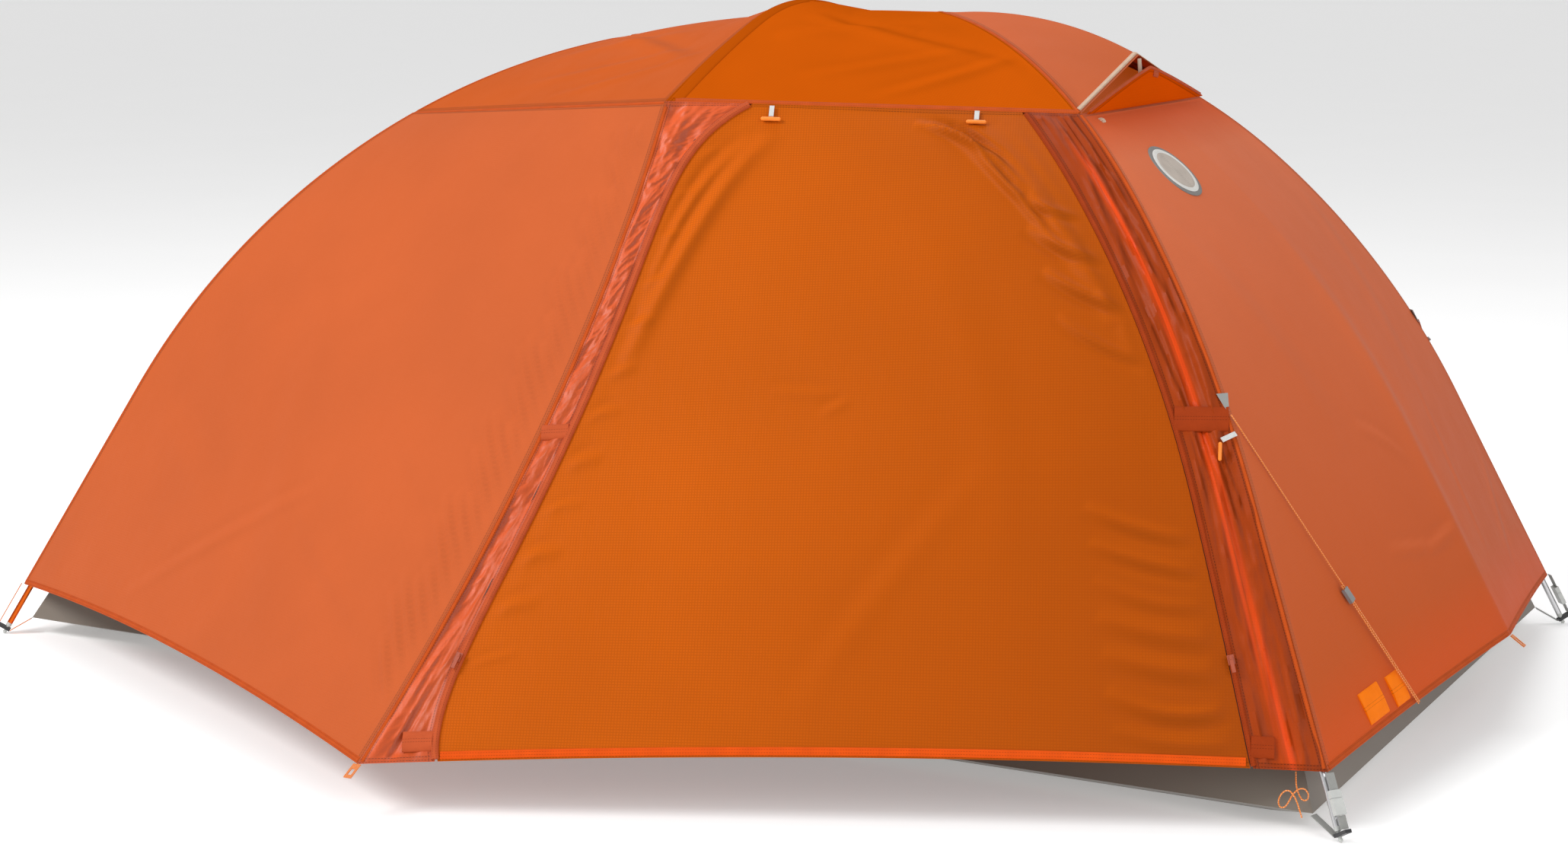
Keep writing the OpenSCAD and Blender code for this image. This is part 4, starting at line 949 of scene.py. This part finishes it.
roof_folds = [((0.2, 0.62), (0.95, 0.86), 0.016, 0.0035, 0.01), ((0.3, 0.9), (0.85, 0.78), 0.014, 0.003, 0),
              ((0.15, 0.75), (0.7, 0.68), 0.02, 0.003, 0.02), ((0.5, 0.97), (0.98, 0.80), 0.012, 0.003, 0),
              ((0.2, 0.38), (0.9, 0.12), 0.016, 0.003, 0.01), ((0.3, 0.1), (0.8, 0.25), 0.014, 0.003, 0)]
cloth("roof_panel_foot", roof_foot_all, 0.009, foot_roof_cloth, "roof_foot", "tent", folds=roof_folds,
      swell=0.0012, seed=11)
cloth("roof_panel_front", roof_brow_all, 0.008, roof_cloth, "roof_brow", "tent", folds=roof_folds,
      swell=0.0012, seed=12)

# fine wrinkles run up and back from the flap's seam, and long soft ones hang from the pole sleeve
seam_wrinkles = [((1.0, v), (1.0 - reach, v - 0.85 * reach), 0.008, 0.0036, 0.004)
                 for v, reach in zip(np.linspace(0.10, 0.93, 30),
                                     0.07 + 0.06 * np.abs(np.sin(np.arange(30) * 2.4)))]
side_folds = seam_wrinkles + [
    ((0.70, 0.95), (0.35, 0.40), 0.035, 0.002, 0.03), ((0.98, 0.72), (0.60, 0.50), 0.016, 0.0016, 0.02),
    ((0.95, 0.88), (0.55, 0.72), 0.016, 0.0016, 0.02), ((0.05, 0.65), (0.45, 0.85), 0.03, 0.0016, 0.02),
    ((0.05, 0.3), (0.5, 0.55), 0.03, 0.0012, 0.03), ((0.3, 0.97), (0.62, 0.70), 0.014, 0.0016, 0.01)]


def flap_crumple(u, v, x, y):
    calm = mix(1.0, 0.35, smooth(v, 0.30, 0.85))
    return calm * (0.0035 * crumple(x, 0.55 * y, 0.09, 31) + 0.0010 * crumple(x, y, 0.030, 41)) \
        + 0.003 * smooth(v, 0.4, 0.8) * crumple(x, 0.10 * y, 0.06, 45)


def strip_crumple(u, v, x, y):
    return 0.0045 * crumple(x, 0.07 * y, 0.035, 51) + 0.0008 * crumple(x, 0.4 * y, 0.05, 55)


# painted glow: where the bright stripe of light through the zip strip runs
def strip_tone(u, v):
    middle = 0.50 + 0.05 * np.sin(7 * v) - 0.10 * (1 - v) ** 4
    return np.exp(-((u - middle) / mix(0.07, 0.11, v)) ** 2) * smooth(v, 0.04, 0.14)


# painted shade: where a darker stripe of shade runs down the flap's lower half
def flap_tone(u, v):
    return np.exp(-((u - 0.62 - 0.1 * np.sin(9 * v)) / 0.16) ** 2) * smooth(v, 0.25, 0.5)


right_tops = [(0.62 + 0.045 * k, 0.03) for k in range(8)]
right_ends = [(0.86 + 0.02 * k, 0.12 + 0.055 * k) for k in range(8)]
door_folds = fan(right_tops, right_ends, 0.009, 0.0070, 0.02)
door_folds += fan([(1.0, 0.21 + 0.08 * k) for k in range(4)],
                  [(0.86, 0.15 + 0.075 * k) for k in range(4)], 0.008, 0.005, 0.01)
door_folds += fan([(0.01, 0.10 + 0.07 * k) for k in range(12)],
                  [(0.07, 0.085 + 0.07 * k) for k in range(12)], 0.008, 0.0016, 0.006)
door_folds += fan([(0.99, 0.70 + 0.045 * k) for k in range(7)],
                  [(0.84, 0.655 + 0.05 * k) for k in range(7)], 0.009, 0.0030, 0.012)
door_folds += [((0.04, 0.45), (0.20, 0.05), 0.014, 0.005, 0.02),
               ((0.03, 0.36), (0.14, 0.06), 0.010, 0.004, 0.02),
               ((0.325, 0.48), (0.45, 0.49), 0.008, 0.0010, 0),
               ((0.42, 0.52), (0.47, 0.50), 0.008, 0.0010, 0),
               ((0.55, 0.15), (0.72, 0.75), 0.035, 0.0012, 0.04),
               ((0.45, 0.95), (0.70, 0.60), 0.02, 0.0010, 0.02)]
end_folds = [((0.35, 0.62), (0.46, 0.70), 0.007, 0.0014, 0.01),
             ((0.30, 0.80), (0.42, 0.83), 0.007, 0.0014, 0),
             ((0.40, 0.83), (0.50, 0.82), 0.007, 0.0014, 0), ((0.06, 0.2), (0.3, 0.65), 0.03, 0.0015, 0.03),
             ((0.94, 0.2), (0.7, 0.65), 0.03, 0.0015, -0.03), ((0.5, 0.3), (0.5, 0.9), 0.03, 0.003, 0.01),
             ((0.96, 0.75), (0.75, 0.93), 0.014, 0.0015, 0), ((0.62, 0.9), (0.72, 0.6), 0.012, 0.0012, 0)]
seam_dir = unit(DOOR_TOP - BROW_CORNER)
fall = front(np.array(0.5), np.array(0.03)) - front(np.array(0.5), np.array(0.0))
fall = unit(fall - (fall @ seam_dir) * seam_dir)


def flap(u, v):
    return front(u * flap_edge(v), v)


def strip(u, v):
    return front(mix(strip_edge(v), 1, u), v)


for side, where in ((1, "front"), (-1, "back")):
    cloth("side_panel_cloth_" + where, side_panel, 0.007, side_cloth, "side_panel_" + where, "tent",
          folds=side_folds, swell=0.0015, swell_len=0.5, seed=20 + side, side=side, ease=0.05)
    cloth("storm_flap_cloth_" + where, flap, 0.0035, flap_cloth, "storm_flap_" + where, "tent",
          extra=flap_crumple, tone=flap_tone, swell=0.001, swell_len=0.2, seed=30 + side, side=side,
          ease=0.014)
    cloth("zip_strip_cloth_" + where, strip, 0.0035, strip_cloth, "zip_strip_" + where, "tent",
          extra=strip_crumple, tone=strip_tone, swell=0.0008, swell_len=0.2, seed=40 + side, side=side,
          ease=0.014)
    made = cloth("door_cloth_" + where, door, 0.006, door_cloth, "door_" + where, None, seams="tb",
                 folds=door_folds, swell=0.0015, swell_len=0.45, seed=50 + side, side=side, ease=0.03)
    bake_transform(made)
cloth("end_panel_cloth_head", end_head, 0.009, end_cloth, "end_panel_head", "tent",
      folds=end_folds, swell=0.0015, swell_len=0.5, seed=61)
cloth("end_panel_cloth_foot", end_foot, 0.009, side_cloth, "end_panel_foot", "tent",
      folds=end_folds, swell=0.0015, swell_len=0.5, seed=62)

# the vent hood's cloth, on a mesh of its own; the real hood folds down towards the end panel with its strut
hood_cloth = cloth("vent_hood_cloth", hood, 0.007, side_cloth, "vent_hood", "tent", swell=0.001,
                   seed=71)
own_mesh(hood_cloth)


def lip(u, v):
    """The end panel's top, which rises under the hood to a low peak in front of the strut."""
    low = lerp(DOOR_TOP, flip(DOOR_TOP), u) + (0.009, 0, 0)
    rise = 0.001 + (1 - np.abs(2 * u - 1) ** 1.12) * (HOOD_TIP[2] - DOOR_TOP[2] - 0.017)
    return low + ((1 - v) * rise)[..., None] * np.array([0.06, 0, 1.0])


lip_piece = cloth("vent_lip_cloth", lip, 0.007, lip_shaded_cloth, "vent_hood", "tent", seams="t", swell=0.0006,
                  seed=73)
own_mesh(lip_piece)
cloth("vent_mesh_net", vent_mesh, 0.012, vent_net, "vent_mesh", "tent", swell=0.001, seed=72)


# ---- the inner tent ----
for side, where in ((1, "front"), (-1, "back")):
    cloth("inner_wall_cloth_" + where, inner_wall, 0.016, inner_cloth, "inner_wall_" + where, "tent",
          swell=0.0015, seed=80 + side, side=side, hole=(*INNER_DOOR_U, *INNER_DOOR_V))
    made = cloth("inner_door_net_" + where, inner_door, 0.012, net, "inner_door_" + where, None,
                 swell=0.0015, seed=85 + side, side=side)
    low = inner_door(np.array(0.5), np.array(1.0))
    up = inner_door(np.array(0.5), np.array(0.9)) - low
    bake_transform(made)
for end in LEG:
    cloth("inner_end_cloth_" + end, inner_end(end), 0.016, inner_cloth, "inner_end_" + end, "tent",
          swell=0.0015, seed=90 + len(end))


# ---- bindings, seams and sewn-on parts ----
def edge_ribbon(name, surface, path, width, tall, material, body="tent", side=1, count=90, slot=None):
    """A ribbon on a surface, along path(t) = (u, v)."""
    t = np.linspace(0, 1, count)
    u, v = path(t)
    e = 0.004
    centre = surface(u, v)
    du = surface(np.clip(u + e, 0, 1), v) - surface(np.clip(u - e, 0, 1), v)
    dv = surface(u, np.clip(v + e, 0, 1)) - surface(u, np.clip(v - e, 0, 1))
    normal = unit(np.cross(du, dv))
    normal = normal * np.sign(np.sum(normal * (centre - CENTRE), axis=-1, keepdims=True))
    return ribbon(name, centre, normal, width, tall, material, body, side)


def along_v(u, v0=0.0, v1=1.0):
    def path(t):
        v = mix(v0, v1, t)
        return (u(v) if callable(u) else u + 0 * v), v
    return path


def along_u(v, u0=0.0, u1=1.0):
    return lambda t: (mix(u0, u1, t), v + 0 * t)


for side, where in ((1, "front"), (-1, "back")):
    def sewn(name, *rest, **more):
        return edge_ribbon(name + "_" + where, *rest, side=side, **more)

    sewn("flap_binding", front, along_v(lambda v: flap_edge(v) + 0.001, 0.002, 0.997), 0.010, 0.0055, tape,
         slot="fly_flap")
    sewn("flap_seam_tape", front, along_v(0.003, 0.01, 0.997), 0.006, 0.0014, seam_tape, slot="fly_flap")
    sewn("strip_binding", front, along_v(lambda v: strip_edge(v) + 0.001, 0.004, 0.997), 0.008, 0.0025,
         band_tape, slot="fly_flap")
    sewn("flap_cross_band", front, along_u(0.53, 0.002, flap_edge(0.53) - 0.003), 0.024, 0.0040,
         tape, count=14, slot="fly_flap")
    sewn("strip_cross_band", front, along_u(0.531, strip_edge(0.531) + 0.003, 0.998), 0.036, 0.0038,
         band_tape, count=14, slot="fly_flap")
    low_left, low_right = flap_edge(0.972), strip_edge(0.972)
    sewn("flap_hem_box", front, along_u(0.972, low_left - 0.034, low_left - 0.002), 0.030, 0.0050, tape,
         count=10, slot="fly_flap")
    sewn("strip_hem_box", front, along_u(0.972, low_right + 0.002, low_right + 0.026), 0.030, 0.0045,
         band_tape, count=10, slot="fly_flap")
    sewn("door_hem_band", door, along_u(0.992, 0.004, 0.996), 0.012, 0.002, hem_tape,
         body=where + "_door", slot="fly_flap")
    sewn("side_hem_band", side_panel, along_u(0.996, 0.003, 0.997), 0.009, 0.0012, seam_tape,
         slot="fly_salmon")
    sewn("side_top_seam", side_panel, along_u(0.003, 0.004, 0.996), 0.005, 0.0012, seam_tape,
         slot="fly_salmon")
    sewn("leg_seam_head", front, along_v(0.997, 0.004, 0.996), 0.006, 0.0014, seam_tape, slot="fly_flap")
    sewn("leg_seam_foot", side_panel, along_v(0.002, 0.004, 0.996), 0.006, 0.0014, seam_tape,
         slot="fly_salmon")
    sewn("hub_seam_foot", roof_foot, along_v(0.004, 0.03, 0.996), 0.006, 0.0014, seam_tape,
         slot="fly_salmon")
    sewn("door_top_seam", roof_brow, along_u(0.990, 0.02, 0.996), 0.010, 0.0014, seam_tape,
         slot="fly_roof")
    sewn("cross_pole_seam", roof_brow, along_v(0.022, 0.02, 0.985), 0.020, 0.0012, roof_cloth,
         slot="fly_roof")
    sewn("roof_leg_seam", roof_brow, along_v(0.996, 0.02, 0.996), 0.006, 0.0014, seam_tape, slot="fly_roof")

for end, surface in (("head", end_head), ("foot", end_foot)):
    edge_ribbon("end_hem_band_" + end, surface, along_u(0.996, 0.004, 0.996), 0.009, 0.0012, seam_tape,
                slot="fly_salmon")
# painted light: two bright patches by the end hem, drawn as thin raised pieces, where light comes through
# the cloth
for k, (u, v, half) in enumerate(((0.135, 0.965, 0.024), (0.196, 0.968, 0.016))):
    edge_ribbon(f"end_hem_patch_{k}", end_head, along_u(v, u - half, u + half), 0.045, 0.0022 + 0.001 * k,
                lit_patch_cloth, count=10, slot="fly_flap")
edge_ribbon("end_tab_pale", end_head, along_u(0.022, 0.092, 0.112), 0.010, 0.003, pale_tape, count=8,
            slot="webbing_white")


def squashed(obj):
    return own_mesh(obj)


squashed(edge_ribbon("vent_lip_binding", lip, along_u(0.03, 0.02, 0.98), 0.005, 0.0016, tape,
                     slot="fly_salmon"))
squashed(edge_ribbon("hood_mouth_binding", hood, along_u(0.978, 0.004, 0.996), 0.007, 0.0022, pale_tape,
                     slot="fly_salmon"))
squashed(edge_ribbon("hood_tip_tab", lip, along_u(0.16, 0.53, 0.57), 0.010, 0.002, tape, count=8,
                     slot="fly_flap"))


def disc(name, surface, u, v, radius, tall, material):
    """A thin round patch that lies on a surface."""
    at = surface(np.array(u), np.array(v))
    e = 0.01
    du = unit(surface(np.array(u + e), np.array(v)) - surface(np.array(u - e), np.array(v)))
    dv = surface(np.array(u), np.array(v + e)) - surface(np.array(u), np.array(v - e))
    dv = unit(dv - (dv @ du) * du)
    normal = np.cross(du, dv)
    normal = normal * np.sign(normal @ (at - CENTRE))
    rings = [(0.0, 1.0), (0.3, 1.0), (0.6, 1.0), (0.78, 1.0), (0.84, 1.25), (0.90, 1.0), (0.97, 0.9),
             (1.0, 0.3), (1.0, -0.5)]
    turn = np.linspace(0, 2 * math.pi, 48, endpoint=False)
    points, flat = [at + tall * normal], [(0, 0, 0)]
    for share, lift in rings[1:]:
        for a in turn:
            x, y = share * radius * math.cos(a), share * radius * math.sin(a)
            points.append(at + x * du + y * dv + lift * tall * normal)
            flat.append((x, y, 0))
    faces = [(0, 1 + k, 1 + (k + 1) % 48) for k in range(48)]
    for r in range(len(rings) - 2):
        a = 1 + r * 48
        faces += [(a + k, a + 48 + k, a + 48 + (k + 1) % 48, a + (k + 1) % 48) for k in range(48)]
    last = 1 + (len(rings) - 2) * 48
    faces.append(tuple(last + k for k in range(47, -1, -1)))
    if np.dot(np.cross(du, dv), normal) < 0:
        faces = [f[::-1] for f in faces]
    obj = new_object(name, points, faces, material, 60)
    store(obj, "weave", flat)
    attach(obj, "tent")
    return obj


badge_pale = binding_material("badge_pale", (0.66, 0.65, 0.62))
badge_grey = binding_material("badge_grey", (0.22, 0.21, 0.20))
badge_beige = binding_material("badge_beige", (0.46, 0.40, 0.35))
for label, radius, tall, material in (("border", 0.051, 0.0012, badge_grey),
                                      ("ring", 0.045, 0.0017, badge_pale),
                                      ("middle", 0.037, 0.0022, badge_beige)):
    disc("end_badge_" + label, end_head, 0.269, 0.15, radius, tall, material)

# zips: a woven tape behind the gap on both sides of each door
zip_tape = binding_material("zip_tape", (0.10, 0.055, 0.045))
for side, where in ((1, "front"), (-1, "back")):
    for label, edge, shift in (("left", flap_edge, 0.0016), ("right", strip_edge, -0.0016)):
        v = np.linspace(0.012, 0.995, 120)
        u = edge(v) + shift
        centre = front(u, v)
        normal = normals_of(front(*np.meshgrid(np.linspace(0, 1, 5), v, indexing="ij")))[2]
        ribbon(f"zip_tape_{label}_{where}", centre - 0.0022 * normal, normal, 0.022, 0.0006, zip_tape,
               "tent", side)


# ---- the CAD nodes that stay: hardware, poles and webbing ----
def both(*names):
    return tuple(f"{name}_{where}" for name in names for where in ("front", "back"))


finishes = {
    silver: both("leg_pole_head"),
    orange_metal: ("ridge_pole", "brow_pole", *both("leg_pole_foot")),
    steel: ("pole_ferrules",),
    black_plastic: ("hub_head", "hub_foot", "brow_connector", "brow_tips", "pole_clips", "tip_locks"),
    dark_plastic: ("line_tensioner_front",),
    hidden_plastic: both("zip_slider_left", "zip_slider_right"),
    grey_plastic: ("pole_tips", "buckle_sockets", *both("buckle_tongue")),
    orange_plastic: both("toggle_foot", "toggle_head", "side_toggle"),
    beige_plastic: ("vent_strut",),
    black_braid: ("shock_cords",),
    white_web: (*both("rollup_webbing"), "webbing_loops"),
    grey_web: ("guy_patches", "corner_straps_head"),
    orange_web: ("corner_straps_foot", "stake_loops"),
    tub_cloth: ("floor_tub",),
}
for material, names in finishes.items():
    for name in names:
        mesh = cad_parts[name].data
        mesh.materials.clear()
        mesh.materials.append(material)
        mesh.polygons.foreach_set("use_smooth", [True] * len(mesh.polygons))
        mesh.set_sharp_from_angle(angle=math.radians(40))


# ---- floor and light ----
def studio():
    s = Shader("floor_pale", 0.7)
    place = s.place()
    cloud = s.noise(place, 1.5, 3.0)
    s.bsdf.inputs["Emission Color"].default_value = (1, 1, 1, 1)
    s.bsdf.inputs["Emission Strength"].default_value = 0.30
    s.finish(s.mix(cloud, (0.86, 0.86, 0.86), (0.90, 0.90, 0.90)), s.bump(cloud, 0.001, 0.05))
    half = 60.0
    points = [(-half, -half, 0), (half, -half, 0), (half, half, 0), (-half, half, 0)]
    new_object("studio_floor", points, [(0, 1, 2, 3)], s.mat, 180)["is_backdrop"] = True
    world = bpy.data.worlds.new("studio")
    bpy.context.scene.world = world
    world.use_nodes = True
    world.node_tree.nodes["Background"].inputs["Color"].default_value = (1, 1, 1, 1)
    world.node_tree.nodes["Background"].inputs["Strength"].default_value = 0.50
    for name, where, size, power in (("key", (-3.2, -4.8, 5.0), 3.0, 330),
                                     ("fill", (4.5, -3.5, 3.0), 4.0, 105),
                                     ("top", (0.0, 1.5, 6.0), 4.0, 110)):
        data = bpy.data.lights.new(name, "AREA")
        data.shape, data.size, data.energy = "DISK", size, power
        light = bpy.data.objects.new(name, data)
        light.location = where
        aim = np.array([0, 0, 0.4]) - np.array(where)
        light.rotation_euler = (math.atan2(math.hypot(aim[0], aim[1]), -aim[2]), 0,
                                math.atan2(aim[1], aim[0]) - math.pi / 2)
        bpy.context.scene.collection.objects.link(light)


studio()
bpy.context.scene.view_settings.view_transform = "Standard"

low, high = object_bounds()
